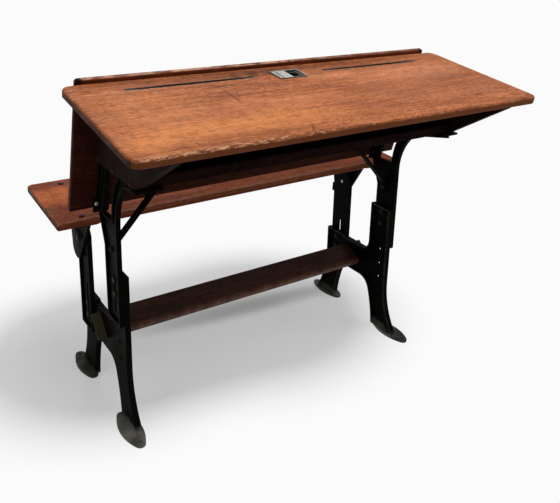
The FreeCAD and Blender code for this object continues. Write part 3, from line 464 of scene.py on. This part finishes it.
deskMarks = [
    # centre and radii on the board, turn, tint, share
    # darker along the rear edge
    ((-0.06, 0.340), (0.34, 0.020), 0, (0.08, 0.026, 0.013), 0.70),
    ((-0.07, 0.322), (0.10, 0.016), 0, (0.05, 0.018, 0.011), 0.70),
    ((0.30, 0.345), (0.25, 0.012), 0, (0.14, 0.045, 0.018), 0.5),
    # ink blots and burns
    ((-0.190, 0.274), (0.030, 0.004), 3, (0.035, 0.022, 0.016), 0.9),
    ((0.070, 0.285), (0.022, 0.006), -30, (0.06, 0.020, 0.012), 0.8),
    ((0.372, 0.238), (0.030, 0.005), -25, (0.05, 0.020, 0.012), 0.85),
    # deep scratches
    ((-0.203, 0.205), (0.0019, 0.055), 0, (0.05, 0.026, 0.020), 0.9),
    ((-0.252, 0.180), (0.0017, 0.040), 28, (0.07, 0.030, 0.022), 0.7),
    ((-0.185, 0.226), (0.0017, 0.030), -20, (0.07, 0.030, 0.022), 0.7),
    # small dents and a dark right corner
    ((0.363, 0.061), (0.012, 0.004), 0, (0.05, 0.020, 0.012), 0.9),
    ((-0.380, 0.197), (0.016, 0.004), 0, (0.05, 0.020, 0.012), 0.85),
    ((-0.428, 0.191), (0.005, 0.005), 0, (0.05, 0.018, 0.012), 0.85),
    ((-0.140, 0.020), (0.002, 0.018), -30, (0.06, 0.020, 0.012), 0.8),
    ((0.496, 0.014), (0.010, 0.012), 0, (0.05, 0.020, 0.012), 0.85),
    ((0.458, 0.004), (0.022, 0.005), 0, (0.08, 0.026, 0.014), 0.7),
    # brighter areas, and a darker one on the right
    ((-0.25, 0.080), (0.22, 0.040), 0, (0.80, 0.300, 0.095), 0.45),
    ((0.32, 0.240), (0.17, 0.040), 0, (0.74, 0.310, 0.160), 0.40),
    ((-0.40, 0.190), (0.09, 0.110), 0, (0.80, 0.290, 0.095), 0.30),
    ((-0.16, 0.155), (0.20, 0.035), 0, (0.76, 0.290, 0.130), 0.30),
    ((-0.455, 0.050), (0.050, 0.030), 0, (0.80, 0.290, 0.095), 0.45),
    ((0.09, 0.270), (0.08, 0.020), 0, (0.80, 0.320, 0.160), 0.40),
    ((0.30, 0.130), (0.22, 0.080), 0, (0.28, 0.100, 0.052), 0.45)]
# The grooves' dark inside is grime and painted shade, and the pale line along their front side is
# a painted highlight
grooves = {"offset": 0.2455, "across": 0.308, "half": 0.155, "endFade": 0.008,
           "halfWide": 0.0062, "inside": 0.0008, "outside": 0.0004, "fray": 0.003,
           "dirtAndShade": (0.014, 0.011, 0.009), "paintedHighlight": (0.20, 0.18, 0.17),
           "highlightAt": (-0.0022, -0.0008), "highlightSteps": (0.40, 0.55, 0.2, 1.0)}
# Below the top, the front edge's face and the ends are darkened as painted shade; the same edge
# colour also darkens the rubbed rim
deskEdgeShadeAndWear = {"half": 0.508, "frayed": (90.0, 4.0, 0.75), "fray": 0.003,
            "edge": (0.13, 0.038, 0.014), "edgeShadeSteps": (-0.0050, -0.0015, 0.92, 0.0),
            "side": (0.022, 0.014, 0.011), "sideShare": 0.92, "sideFrom": 0.006,
            "sideTo": 0.002, "sideShadeSteps": (-0.0050, -0.0005),
            "front": (0.001, 0.011), "rimWide": 0.010, "rubbed": (30.0, 3.0, 0.6),
            "rubbedSteps": (0.35, 0.60, 0.0, 0.5)}
# Pale slivers on the front arris: chips, and partly a painted highlight, more of it on the left
deskChipsAndHighlight = {"colour": (0.68, 0.400, 0.235), "share": 0.8, "arris": (-0.007, -0.004),
             "stretch": (1, 4, 4), "kind": (60.0, 4.0, 0.8), "steps": (0.54, 0.62),
             "often": (-0.30, 0.02, -0.055, 0.050)}  # more of them in the left half


# Pencil grooves darkened by grime and painted shade, with a painted highlight along their front
# side
def touchGrooves(tree, parts, frayed, colour):
    centred = maths(tree, "SUBTRACT", parts[1], grooves["across"])
    uneven = times(tree, maths(tree, "SUBTRACT", frayed, noiseMiddle), grooves["fray"])
    across = plus(tree, centred, uneven)
    within = fall(tree, maths(tree, "ABSOLUTE", across), grooves["halfWide"] - grooves["inside"],
                  grooves["halfWide"] + grooves["outside"])
    along = away(tree, maths(tree, "ABSOLUTE", parts[0]), grooves["offset"])
    within = times(tree, within,
                   fall(tree, along, grooves["half"] - grooves["endFade"], grooves["half"]))
    paintedHighlight = times(tree, fall(tree, across, *grooves["highlightAt"]),
                   ramp(tree, frayed, *grooves["highlightSteps"]))
    inner = blendColour(tree, paintedHighlight, grooves["dirtAndShade"], grooves["paintedHighlight"])
    return blendColour(tree, within, colour, inner)


# Grooves, painted shade on the front edge's face and on the ends, a rubbed rim, and pale slivers
# on the front arris, partly chips and partly a painted highlight
def touchDesk(tree, board, colour):
    parts = separate(tree, board)
    frayed = noise(tree, board, *deskEdgeShadeAndWear["frayed"])
    colour = touchGrooves(tree, parts, frayed, colour)
    depth = plus(tree, parts[2], times(tree, frayed, deskEdgeShadeAndWear["fray"]))
    below = ramp(tree, depth, *deskEdgeShadeAndWear["edgeShadeSteps"])
    colour = blendColour(tree, below, colour, deskEdgeShadeAndWear["edge"])
    outer = maths(tree, "ABSOLUTE", parts[0])
    end = ramp(tree, outer, deskEdgeShadeAndWear["half"] - deskEdgeShadeAndWear["sideFrom"],
               deskEdgeShadeAndWear["half"] - deskEdgeShadeAndWear["sideTo"])
    side = times(tree, end, fall(tree, depth, *deskEdgeShadeAndWear["sideShadeSteps"]))
    colour = stain(tree, colour, side, deskEdgeShadeAndWear["sideShare"], deskEdgeShadeAndWear["side"])
    front = fall(tree, parts[1], *deskEdgeShadeAndWear["front"])
    ends = ramp(tree, outer, deskEdgeShadeAndWear["half"] - deskEdgeShadeAndWear["rimWide"], deskEdgeShadeAndWear["half"])
    rubbed = patches(tree, board, deskEdgeShadeAndWear["rubbed"], deskEdgeShadeAndWear["rubbedSteps"])
    colour = stain(tree, colour, higher(tree, front, ends), rubbed, deskEdgeShadeAndWear["edge"])
    arris = times(tree, front, ramp(tree, parts[2], *deskChipsAndHighlight["arris"]))
    flakes = noise(tree, mapped(tree, board, size=deskChipsAndHighlight["stretch"]), *deskChipsAndHighlight["kind"])
    often = ramp(tree, parts[0], *deskChipsAndHighlight["often"])
    chips = ramp(tree, maths(tree, "SUBTRACT", flakes, often), *deskChipsAndHighlight["steps"])
    return stain(tree, colour, times(tree, arris, chips), deskChipsAndHighlight["share"],
                 deskChipsAndHighlight["colour"])


# The face colour is painted light on the rail above the desk; the pale top line is wear and partly
# a painted highlight
railLightAndWear = {"foot": 0.306, "faceFade": 0.006, "face": (0.125, 0.028, 0.011),
            "streaks": (14.0, 3.0), "streakSteps": (0.35, 0.65, 0.45, 1.0),
            "streakStretch": (1, 8, 8), "top": (0.318, 0.3205), "worn": (0.60, 0.34, 0.23),
            "wear": (26.0, 4.0, 0.7), "wearSteps": (0.42, 0.56, 0.1, 0.9),
            "wearStretch": (1, 3, 3), "leftSteps": (-0.1, 0.3, 1.0, 0.35),
            "ends": (0.458, 0.468), "endsFade": 0.01, "dark": (0.010, 0.004, 0.003)}


# Painted light: above the desk the rail's face is lighter and redder than the shaded board below,
# its upper edge is rubbed to a pale line that is partly a painted highlight, and its ends are
# darkened
def touchRail(tree, board, colour):
    parts = separate(tree, board)
    foot = railLightAndWear["foot"]
    streaks = patches(tree, mapped(tree, board, size=railLightAndWear["streakStretch"]),
                      railLightAndWear["streaks"], railLightAndWear["streakSteps"])
    above = ramp(tree, parts[1], foot, foot + railLightAndWear["faceFade"])
    colour = stain(tree, colour, above, streaks, railLightAndWear["face"])
    wear = patches(tree, mapped(tree, board, size=railLightAndWear["wearStretch"]),
                   railLightAndWear["wear"], railLightAndWear["wearSteps"])
    worn = times(tree, ramp(tree, parts[1], *railLightAndWear["top"]), wear)
    left = ramp(tree, parts[0], *railLightAndWear["leftSteps"])
    colour = stain(tree, colour, worn, left, railLightAndWear["worn"])
    ends = ramp(tree, maths(tree, "ABSOLUTE", parts[0]), *railLightAndWear["ends"])
    above = ramp(tree, parts[1], foot - railLightAndWear["endsFade"], foot)
    return stain(tree, colour, ends, above, railLightAndWear["dark"])


restHighlightAndWear = {"colour": (0.16, 0.075, 0.045), "front": (0.002, 0.016), "kind": (26.0, 4.0, 0.7),
            "steps": (0.35, 0.62, 0.15, 0.85)}


# Painted highlight along the footrest's rounded front edge, patchy where shoes have rubbed it
def touchRest(tree, board, colour):
    front = fall(tree, separate(tree, board)[1], *restHighlightAndWear["front"])
    rubbed = patches(tree, board, restHighlightAndWear["kind"], restHighlightAndWear["steps"])
    return stain(tree, colour, front, rubbed, restHighlightAndWear["colour"])


seatMarks = [
    # as on the desk: the bright left end between two dark bands, worn areas, a pale front edge
    ((-0.455, 0.160), (0.075, 0.050), 0, (0.66, 0.185, 0.055), 0.65),
    ((-0.440, 0.223), (0.080, 0.010), 4, (0.13, 0.030, 0.014), 0.85),
    ((-0.440, 0.086), (0.060, 0.010), -3, (0.13, 0.030, 0.014), 0.6),
    ((-0.24, 0.10), (0.14, 0.05), 0, (0.46, 0.150, 0.070), 0.5),
    ((0.28, 0.11), (0.18, 0.05), 0, (0.44, 0.140, 0.066), 0.5),
    ((0.0, 0.006), (0.50, 0.010), 0, (0.40, 0.170, 0.090), 0.45),
    ((0.02, 0.20), (0.30, 0.03), 0, (0.12, 0.034, 0.018), 0.4)]
seatEnds = {"frayed": (80.0, 4.0, 0.75), "fray": 0.004,
            "front": (0.16, 0.036, 0.012), "frontSteps": (-0.0060, -0.0010, 0.8, 0.0),
            "end": (0.030, 0.014, 0.008), "endAt": (0.496, 0.501),
            "endSteps": (-0.0030, 0.0010, 0.95, 0.25),
            "nick": (0.62, 0.36, 0.20), "nickShare": 0.7, "nickAt": (0.490, 0.498),
            "arris": (-0.004, -0.001), "stretch": (3, 1, 1), "nicks": (110.0, 3.0, 0.8),
            "nickSteps": (0.56, 0.64)}


# The seat's edges are darker than its face, and pale nicks follow each end's upper arris
def touchSeat(tree, board, colour):
    parts = separate(tree, board)
    outer = maths(tree, "ABSOLUTE", parts[0])
    frayed = times(tree, noise(tree, board, *seatEnds["frayed"]), seatEnds["fray"])
    depth = plus(tree, parts[2], frayed)
    below = ramp(tree, depth, *seatEnds["frontSteps"])
    colour = blendColour(tree, below, colour, seatEnds["front"])
    end = ramp(tree, outer, *seatEnds["endAt"])
    colour = stain(tree, colour, end, ramp(tree, depth, *seatEnds["endSteps"]), seatEnds["end"])
    arris = times(tree, ramp(tree, outer, *seatEnds["nickAt"]),
                  ramp(tree, parts[2], *seatEnds["arris"]))
    nicks = patches(tree, mapped(tree, board, size=seatEnds["stretch"]), seatEnds["nicks"],
                    seatEnds["nickSteps"])
    return stain(tree, colour, times(tree, arris, nicks), seatEnds["nickShare"],
                 seatEnds["nick"])


deskOak = woodMaterial("deskOak", oakLook, (deskEdge, deskTilt), deskMarks, touchDesk)
seatOak = woodMaterial("seatOak", seatLook, (seatEdge, seatTilt), seatMarks, touchSeat)
backVarnish = woodMaterial("backboardVarnish", darkLook, (boardFoot, boardTilt),
                           touch=touchRail)
boxStain = woodMaterial("boxStain", boxLook)
restVarnish = woodMaterial("footrestVarnish", footrestLook, (restEdge, restTilt),
                           touch=touchRest)


ironLook = {"black": (0.0012, 0.0012, 0.0010), "dusty": (0.0042, 0.0038, 0.0028),
            "worn": (0.036, 0.030, 0.022), "wornShare": 0.25,
            # The feet are rubbed grey, and the front feet are painted lighter than the rear ones
            # as painted light
            "foot": (0.25, 0.243, 0.212), "footShare": 0.85, "footFade": (0.006, 0.034),
            "footFray": 0.02, "footLightSteps": (-0.05, 0.10, 1.0, 0.5),  # the front feet more
            "ledge": (0.070, 0.060, 0.036), "ledgeShare": 0.0, "ledgeX": (0.4010, 0.4020),
            "ledgeLow": (0.160, 0.170), "ledgeHigh": (0.224, 0.226),
            "rim": (0.055, 0.044, 0.030), "rimShare": 0.0, "rimAt": 0.412,
            "rimFade": (0.0004, 0.0012), "rubbed": (70.0, 4.0, 0.7),
            "rubbedSteps": (0.40, 0.62, 0.25, 1.0),
            "shine": (0.42, 0.62), "specular": 0.012, "relief": 0.35, "depth": 0.0008}


# Black enamelled castings, rubbed grey at the feet, the front feet painted lighter as painted
# light
def ironMaterial(name, look):
    material, tree, surface, where = newMaterial(name)
    parts = separate(tree, where)
    outer = maths(tree, "ABSOLUTE", parts[0])
    skin = useGroup(tree, castGroup, Vector=where)
    colour = blendColour(tree, skin["Bloom"], look["black"], look["dusty"])
    colour = stain(tree, colour, skin["Worn"], look["wornShare"], look["worn"])
    height = plus(tree, parts[2], times(tree, skin["Bloom"], look["footFray"]))
    low = times(tree, fall(tree, height, *look["footFade"]),
                ramp(tree, parts[1], *look["footLightSteps"]))
    colour = stain(tree, colour, low, look["footShare"], look["foot"])
    # The sloping ledges are coloured a lighter olive brown
    ledge = times(tree, ramp(tree, outer, *look["ledgeX"]),
                  ramp(tree, parts[2], *look["ledgeLow"]))
    ledge = times(tree, ledge, fall(tree, parts[2], *look["ledgeHigh"]))
    colour = stain(tree, colour, ledge, look["ledgeShare"], look["ledge"])
    # The raised rims are rubbed brown along their flat faces, partly a painted highlight
    rim = fall(tree, away(tree, outer, look["rimAt"]), *look["rimFade"])
    rim = times(tree, rim, patches(tree, where, look["rubbed"], look["rubbedSteps"]))
    colour = stain(tree, colour, rim, look["rimShare"], look["rim"])
    feed(tree, surface.inputs["Base Color"], colour)
    feed(tree, surface.inputs["Roughness"], ramp(tree, skin["Bloom"], 0.0, 1.0, *look["shine"]))
    surface.inputs["Specular IOR Level"].default_value = look["specular"]
    bump(tree, surface, skin["Height"], look["relief"], look["depth"])
    return material


blackIron = ironMaterial("blackIron", ironLook)
floorIron = ironMaterial("floorIron", dict(ironLook, ledgeShare=0.9, rimShare=0.9, rimAt=0.386))
slidingIron = ironMaterial("slidingIron", dict(ironLook, rimShare=0.2))


metalSkin = {"cloud": (160.0, 4.0, 0.7), "cloudSteps": (0.35, 0.65), "roughSteps": (0.3, 0.7),
             "roughMore": 0.2, "specks": (420.0, 3.0, 0.6), "speckSteps": (0.52, 0.66),
             "speckShare": 0.4, "speckDark": 0.35, "specular": 0.1, "relief": 0.2,
             "depth": 0.0003}


# Bare or plated metal with dull clouds and dark specks
def metalMaterial(name, colour, dull, rough, metal=0.9, touch=None):
    material, tree, surface, where = newMaterial(name)
    cloud = noise(tree, where, *metalSkin["cloud"])
    specks = patches(tree, where, metalSkin["specks"], metalSkin["speckSteps"])
    tint = blendColour(tree, ramp(tree, cloud, *metalSkin["cloudSteps"]), colour, dull)
    tint = stain(tree, tint, specks, metalSkin["speckShare"],
                 [c * metalSkin["speckDark"] for c in dull])
    if touch:
        tint = touch(tree, boardVector(tree, where, deskEdge, deskTilt), tint)
    feed(tree, surface.inputs["Base Color"], tint)
    feed(tree, surface.inputs["Roughness"],
         ramp(tree, cloud, *metalSkin["roughSteps"], rough, rough + metalSkin["roughMore"]))
    surface.inputs["Metallic"].default_value = metal
    surface.inputs["Specular IOR Level"].default_value = metalSkin["specular"]
    bump(tree, surface, cloud, metalSkin["relief"], metalSkin["depth"])
    return material


plateGrime = {"x": -0.002, "y": 0.304, "colour": (0.012, 0.011, 0.009), "mouthX": 0.0155,
              "floorX": (0.0157, 0.0165), "floorY": (0.0207, 0.0215), "floorShare": 0.95,
              "edgeX": (0.0362, 0.0372), "edgeY": (0.0232, 0.0242), "edgeShare": 0.85}


# Ink and grime, with painted shade in the recess, blacken the plate's floor beside the mouth; its
# outer edges are darkened too
def touchPlate(tree, board, colour):
    parts = separate(tree, board)
    x = maths(tree, "SUBTRACT", parts[0], plateGrime["x"])
    y = away(tree, parts[1], plateGrime["y"])
    floor = times(tree, fall(tree, away(tree, x, plateGrime["mouthX"]), *plateGrime["floorX"]),
                  fall(tree, y, *plateGrime["floorY"]))
    colour = stain(tree, colour, floor, plateGrime["floorShare"], plateGrime["colour"])
    edge = higher(tree, ramp(tree, maths(tree, "ABSOLUTE", x), *plateGrime["edgeX"]),
                  ramp(tree, y, *plateGrime["edgeY"]))
    return stain(tree, colour, edge, plateGrime["edgeShare"], plateGrime["colour"])


boltIron = metalMaterial("boltIron", (0.022, 0.016, 0.012), (0.007, 0.006, 0.005), rough=0.50,
                         metal=0.3)
boltSilver = metalMaterial("boltSilver", (0.60, 0.60, 0.58), (0.26, 0.25, 0.23), rough=0.30)
nickel = metalMaterial("wornNickel", (0.66, 0.66, 0.61), (0.30, 0.30, 0.27), rough=0.24)
plateNickel = metalMaterial("plateNickel", (0.50, 0.50, 0.45), (0.20, 0.20, 0.17), rough=0.30,
                            touch=touchPlate)

glassLook = {"clear": (0.020, 0.022, 0.026), "ink": (0.003, 0.003, 0.005),
             "inkKind": (60.0, 4.0), "inkSteps": (0.3, 0.6), "transmission": 0.2, "ior": 1.5,
             "film": (90.0, 3.0), "filmSteps": (0.3, 0.7, 0.25, 0.5)}


# The cup's dark glass, stained by ink
def glassMaterial():
    material, tree, surface, where = newMaterial("inkGlass")
    ink = patches(tree, where, glassLook["inkKind"], glassLook["inkSteps"])
    colour = blendColour(tree, ink, glassLook["clear"], glassLook["ink"])
    feed(tree, surface.inputs["Base Color"], colour)
    surface.inputs["Transmission Weight"].default_value = glassLook["transmission"]
    surface.inputs["IOR"].default_value = glassLook["ior"]
    feed(tree, surface.inputs["Roughness"],
         patches(tree, where, glassLook["film"], glassLook["filmSteps"]))
    return material


# The finish of each CAD piece, by how its name begins
finishes = {
    "desktop": deskOak, "seat_board": seatOak, "backboard": backVarnish, "box": boxStain,
    "footrest": restVarnish, "lower_casting": floorIron, "upper_standard": slidingIron,
    "seat_post": slidingIron, "seat_bracket": blackIron, "brace": blackIron,
    "clamp": boltIron, "pivot_pins": boltIron, "inkwell_plate": plateNickel,
    "inkwell_cover": nickel, "inkwell_cup": glassMaterial()}
for name, node in nodes.items():
    node.data.materials.clear()
    node.data.materials.append(next(finishes[k] for k in finishes if name.startswith(k)))
print("materials on the CAD pieces")


# Helpers for new pieces: modelled upright at the origin, then set out as copies
fastening = {"headSides": 36, "shankSides": 28, "dome": 0.9, "domeSteps": 7, "slotDeep": 0.45,
             "bladeLong": 3, "nutBevel": 0.18, "endBevel": 0.2, "bevelSteps": 2,
             "upright": 0.9, "smooth": math.radians(35)}


def focus(piece):
    bpy.ops.object.select_all(action="DESELECT")
    piece.select_set(True)
    bpy.context.view_layer.objects.active = piece


def addCylinder(sides, radius, high, middle):
    bpy.ops.object.select_all(action="DESELECT")
    bpy.ops.mesh.primitive_cylinder_add(vertices=sides, radius=radius, depth=high,
                                        location=(0, 0, middle))
    return bpy.context.object


def addBlock(size, middle=0):
    bpy.ops.object.select_all(action="DESELECT")
    bpy.ops.mesh.primitive_cube_add(size=1, location=(0, 0, middle))
    block = bpy.context.object
    block.scale = size
    return block


# Bevels the edges round a piece's top face
def bevelTop(piece, offset, steps):
    focus(piece)
    bpy.ops.object.mode_set(mode="EDIT")
    bpy.ops.mesh.select_mode(type="FACE")
    bpy.ops.mesh.select_all(action="DESELECT")
    bpy.ops.object.mode_set(mode="OBJECT")
    for face in piece.data.polygons:
        face.select = face.normal.z > fastening["upright"]
    bpy.ops.object.mode_set(mode="EDIT")
    bpy.ops.mesh.bevel(offset=offset, segments=steps, affect="EDGES")
    bpy.ops.object.mode_set(mode="OBJECT")


# The blade is centred on the head's top, so the lower half of it cuts the slot
def cutSlot(head, look):
    long = look["radius"] * fastening["bladeLong"]
    deep = look["high"] * fastening["slotDeep"]
    blade = addBlock((long, look["slot"], deep * 2), look["high"])
    focus(head)
    cutter = head.modifiers.new("slot", "BOOLEAN")
    cutter.operation = "DIFFERENCE"
    cutter.object = blade
    bpy.ops.object.modifier_apply(modifier=cutter.name)
    bpy.data.objects.remove(blade)


# Domed head of a bolt or screw, with a slot where the look has one
def makeHead(name, look, material):
    high = look["high"]
    head = addCylinder(fastening["headSides"], look["radius"], high, high / 2)
    head.name = name
    bpy.ops.object.transform_apply(location=True, rotation=False, scale=False)
    bevelTop(head, high * fastening["dome"], fastening["domeSteps"])
    if "slot" in look:
        cutSlot(head, look)
    focus(head)
    bpy.ops.object.shade_smooth_by_angle(angle=fastening["smooth"])
    head.data.materials.append(material)
    return head


# Rounded head on its shank
def makeBolt(name, look, material):
    bolt = makeHead(name, look, material)
    shank = addCylinder(fastening["shankSides"], look["shank"], look["length"],
                        -look["length"] / 2)
    focus(bolt)
    shank.select_set(True)
    bpy.ops.object.join()
    return bolt


# Square nut with bevelled corners and the end of its bolt standing out
def makeNut(name, look, material):
    nut = addBlock((look["across"], look["across"], look["high"]), look["high"] / 2)
    nut.name = name
    bpy.ops.object.transform_apply(location=True, rotation=False, scale=True)
    bevelTop(nut, look["high"] * fastening["nutBevel"], fastening["bevelSteps"])
    end = addCylinder(fastening["shankSides"], look["bolt"], look["stand"],
                      look["high"] + look["stand"] / 2)
    bevelTop(end, look["bolt"] * fastening["endBevel"], fastening["bevelSteps"])
    focus(nut)
    end.select_set(True)
    bpy.ops.object.join()
    bpy.ops.object.shade_smooth_by_angle(angle=fastening["smooth"])
    nut.data.materials.append(material)
    return nut


# A copy with its own mesh for each place: a point, the direction of its axis and a turn
# about it. Each place is on the right side and has a twin on the left
def setOut(master, body, places, node=None):
    twins = [((side * p[0], p[1], p[2]), (side * a[0], a[1], a[2]), side * turn)
             for side in (1, -1) for p, a, turn in places]
    for number, (point, axis, turn) in enumerate(twins, 1):
        copy = bpy.data.objects.new(f"{master.name}_{number}", master.data.copy())
        bpy.context.collection.objects.link(copy)
        aim = Vector(axis).to_track_quat("Z", "Y").to_matrix().to_4x4()
        copy.data.transform(Matrix.Translation(point) @ aim @ Matrix.Rotation(turn, 4, "Z"))
        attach(copy, body)
        if node:
            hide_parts(node)
    bpy.data.objects.remove(master)


# A point on a sloping board, and the direction out of its face
def onBoard(edge, tilt, x, across, out):
    return edge + Matrix.Rotation(tilt, 3, "X") @ Vector((x, across, out))


def boardNormal(tilt):
    return Matrix.Rotation(tilt, 3, "X") @ Vector((0, 0, 1))


outward, inward, downward = (1, 0, 0), (-1, 0, 0), (0, 0, -1)

# Clamp bolts with rounded heads, their square nuts, and the pivot pins, for the plain ones
clampLook = {"radius": 7.6 * mm, "high": 4 * mm, "shank": 4 * mm, "length": 12.3 * mm}
clampNutLook = {"across": 13 * mm, "high": 5.5 * mm, "bolt": 4 * mm, "stand": 2.4 * mm}
clamps = {"outer": 406.3 * mm, "inner": 394 * mm,
          "rows": ((0.0275, 0.365), (0.0275, 0.330), (0.223, 0.215), (0.223, 0.181))}
pivotLook = {"radius": 9 * mm, "high": 4.5 * mm, "shank": 5 * mm, "length": 20 * mm}
pivotPlace = (420.3 * mm, 0.223, 0.395)
setOut(makeBolt("clampBolt", clampLook, boltIron), "side_castings",
       [((clamps["outer"], y, z), outward, 0) for y, z in clamps["rows"]], "clamp_bolts")
setOut(makeNut("clampNut", clampNutLook, boltIron), "side_castings",
       [((clamps["inner"], y, z), inward, 0) for y, z in clamps["rows"]], "clamp_nuts")
setOut(makeBolt("pivotPin", pivotLook, boltIron), "seat_posts",
       [(pivotPlace, outward, 0)], "pivot_pins")

# Seat bolts: heads on the board, square nuts under the bracket's flange
seatBoltLook = {"radius": 6.3 * mm, "high": 3.2 * mm}
seatNutLook = {"across": 9.5 * mm, "high": 4 * mm, "bolt": 2.8 * mm, "stand": 3 * mm}
seatBolts = {"places": ((0.440, 0.024), (0.4255, 0.2245)), "under": -0.021}
seatUp = boardNormal(seatTilt)
setOut(makeHead("seatBoltHead", seatBoltLook, boltIron), "seat",
       [(onBoard(seatEdge, seatTilt, x, y, 0), seatUp, 0) for x, y in seatBolts["places"]])
setOut(makeNut("seatBoltNut", seatNutLook, boltIron), "seat",
       [(onBoard(seatEdge, seatTilt, x, y, seatBolts["under"]), -seatUp, 0)
        for x, y in seatBolts["places"]])

# Braces: heads on the inner side at the foot and under the shelf, a nut outside
braceLook = {"radius": 6.3 * mm, "high": 3.3 * mm, "slot": 1.3 * mm}
braceNutLook = dict(seatNutLook, across=10 * mm)
braces = {"inner": (394.8 * mm, 0.034, 0.438), "innerTurn": 0.4,
          "outer": (406 * mm, 0.034, 0.438), "outerTurn": 0.2,
          "shelf": (0.212, 0.034, 0.6415), "shelfTurn": 0.9}
setOut(makeHead("braceHead", braceLook, boltIron), "desk",
       [(braces["inner"], inward, braces["innerTurn"]),
        (braces["shelf"], downward, braces["shelfTurn"])])
setOut(makeNut("braceNut", braceNutLook, boltIron), "desk",
       [(braces["outer"], outward, braces["outerTurn"])])

# Bolts through the lugs and the backboard's lower board: heads in front, the outer ones
# bright, and nuts behind
lugHeadLook = {"radius": 5.4 * mm, "high": 3.2 * mm}
lugs = {"inner": 0.3942, "outer": 0.4181, "rise": 0.013, "front": 0.018}
ahead = boardNormal(boardTilt)
for name, x, material in (("lugBoltHeadInner", lugs["inner"], boltIron),
                          ("lugBoltHeadOuter", lugs["outer"], boltSilver)):
    setOut(makeHead(name, lugHeadLook, material), "desk",
           [(onBoard(backEdge, boardTilt, x, lugs["rise"], lugs["front"]), ahead, 0)])
setOut(makeNut("lugBoltNut", seatNutLook, boltIron), "desk",
       [(onBoard(backEdge, boardTilt, x, lugs["rise"], 0), -ahead, 0)
        for x in (lugs["inner"], lugs["outer"])])

# Loose tongue that closes the joint between the backboard's two boards
tongue = {"long": 0.940, "wide": 8 * mm, "thick": 6 * mm, "bevel": 0.6 * mm,
          "rise": 0.0552, "front": 0.0065}


def makeTongue():
    piece = addBlock((tongue["long"], tongue["wide"], tongue["thick"]))
    piece.name = "boardTongue"
    bpy.ops.object.transform_apply(location=False, rotation=False, scale=True)
    bpy.ops.object.mode_set(mode="EDIT")
    bpy.ops.mesh.select_all(action="SELECT")
    bpy.ops.mesh.bevel(offset=tongue["bevel"], segments=fastening["bevelSteps"], affect="EDGES")
    bpy.ops.object.mode_set(mode="OBJECT")
    piece.data.materials.append(boxStain)
    middle = onBoard(backEdge, boardTilt, 0, tongue["rise"], tongue["front"])
    piece.data.transform(Matrix.Translation(middle) @ Matrix.Rotation(boardTilt, 4, "X"))
    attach(piece, "desk")


makeTongue()

# Slotted wood screws: up through the arms, in through the box ends, and from behind the
# backboard. Each has its place and the turn of its slot
screwLook = {"radius": 4.4 * mm, "high": 2 * mm, "slot": 1 * mm}
screws = {"arm": (((0.382, -0.172, 0.642), 3.174), ((0.430, -0.172, 0.642), 3.51)),
          "boxEnd": (((0.431, -0.150, 0.6525), -1.35), ((0.431, -0.060, 0.6525), -0.54),
                     ((0.431, 0.025, 0.6525), 0.225)),
          "backX": 0.422, "backRises": ((0.135, 1.08), (0.205, 1.64), (0.275, 2.2))}
setOut(makeHead("armScrew", screwLook, boltIron), "desk",
       [(place, downward, turn) for place, turn in screws["arm"]])
setOut(makeHead("boxScrew", screwLook, boltIron), "desk",
       [(place, outward, turn) for place, turn in screws["boxEnd"]])
setOut(makeHead("backScrew", screwLook, boltIron), "desk",
       [(onBoard(backEdge, boardTilt, screws["backX"], rise, 0), -ahead, turn)
        for rise, turn in screws["backRises"]])

# Screws through the castings into the footrest's ends
restScrewLook = {"radius": 5 * mm, "high": 2.6 * mm, "slot": 1.2 * mm}
restScrews = (((0.400, 0.1343, 0.1754), 0.3), ((0.400, 0.1628, 0.1899), 1.2))
setOut(makeHead("footrestScrew", restScrewLook, boltIron), "side_castings",
       [(place, outward, turn) for place, turn in restScrews])
print("pieces for the castings and boards")
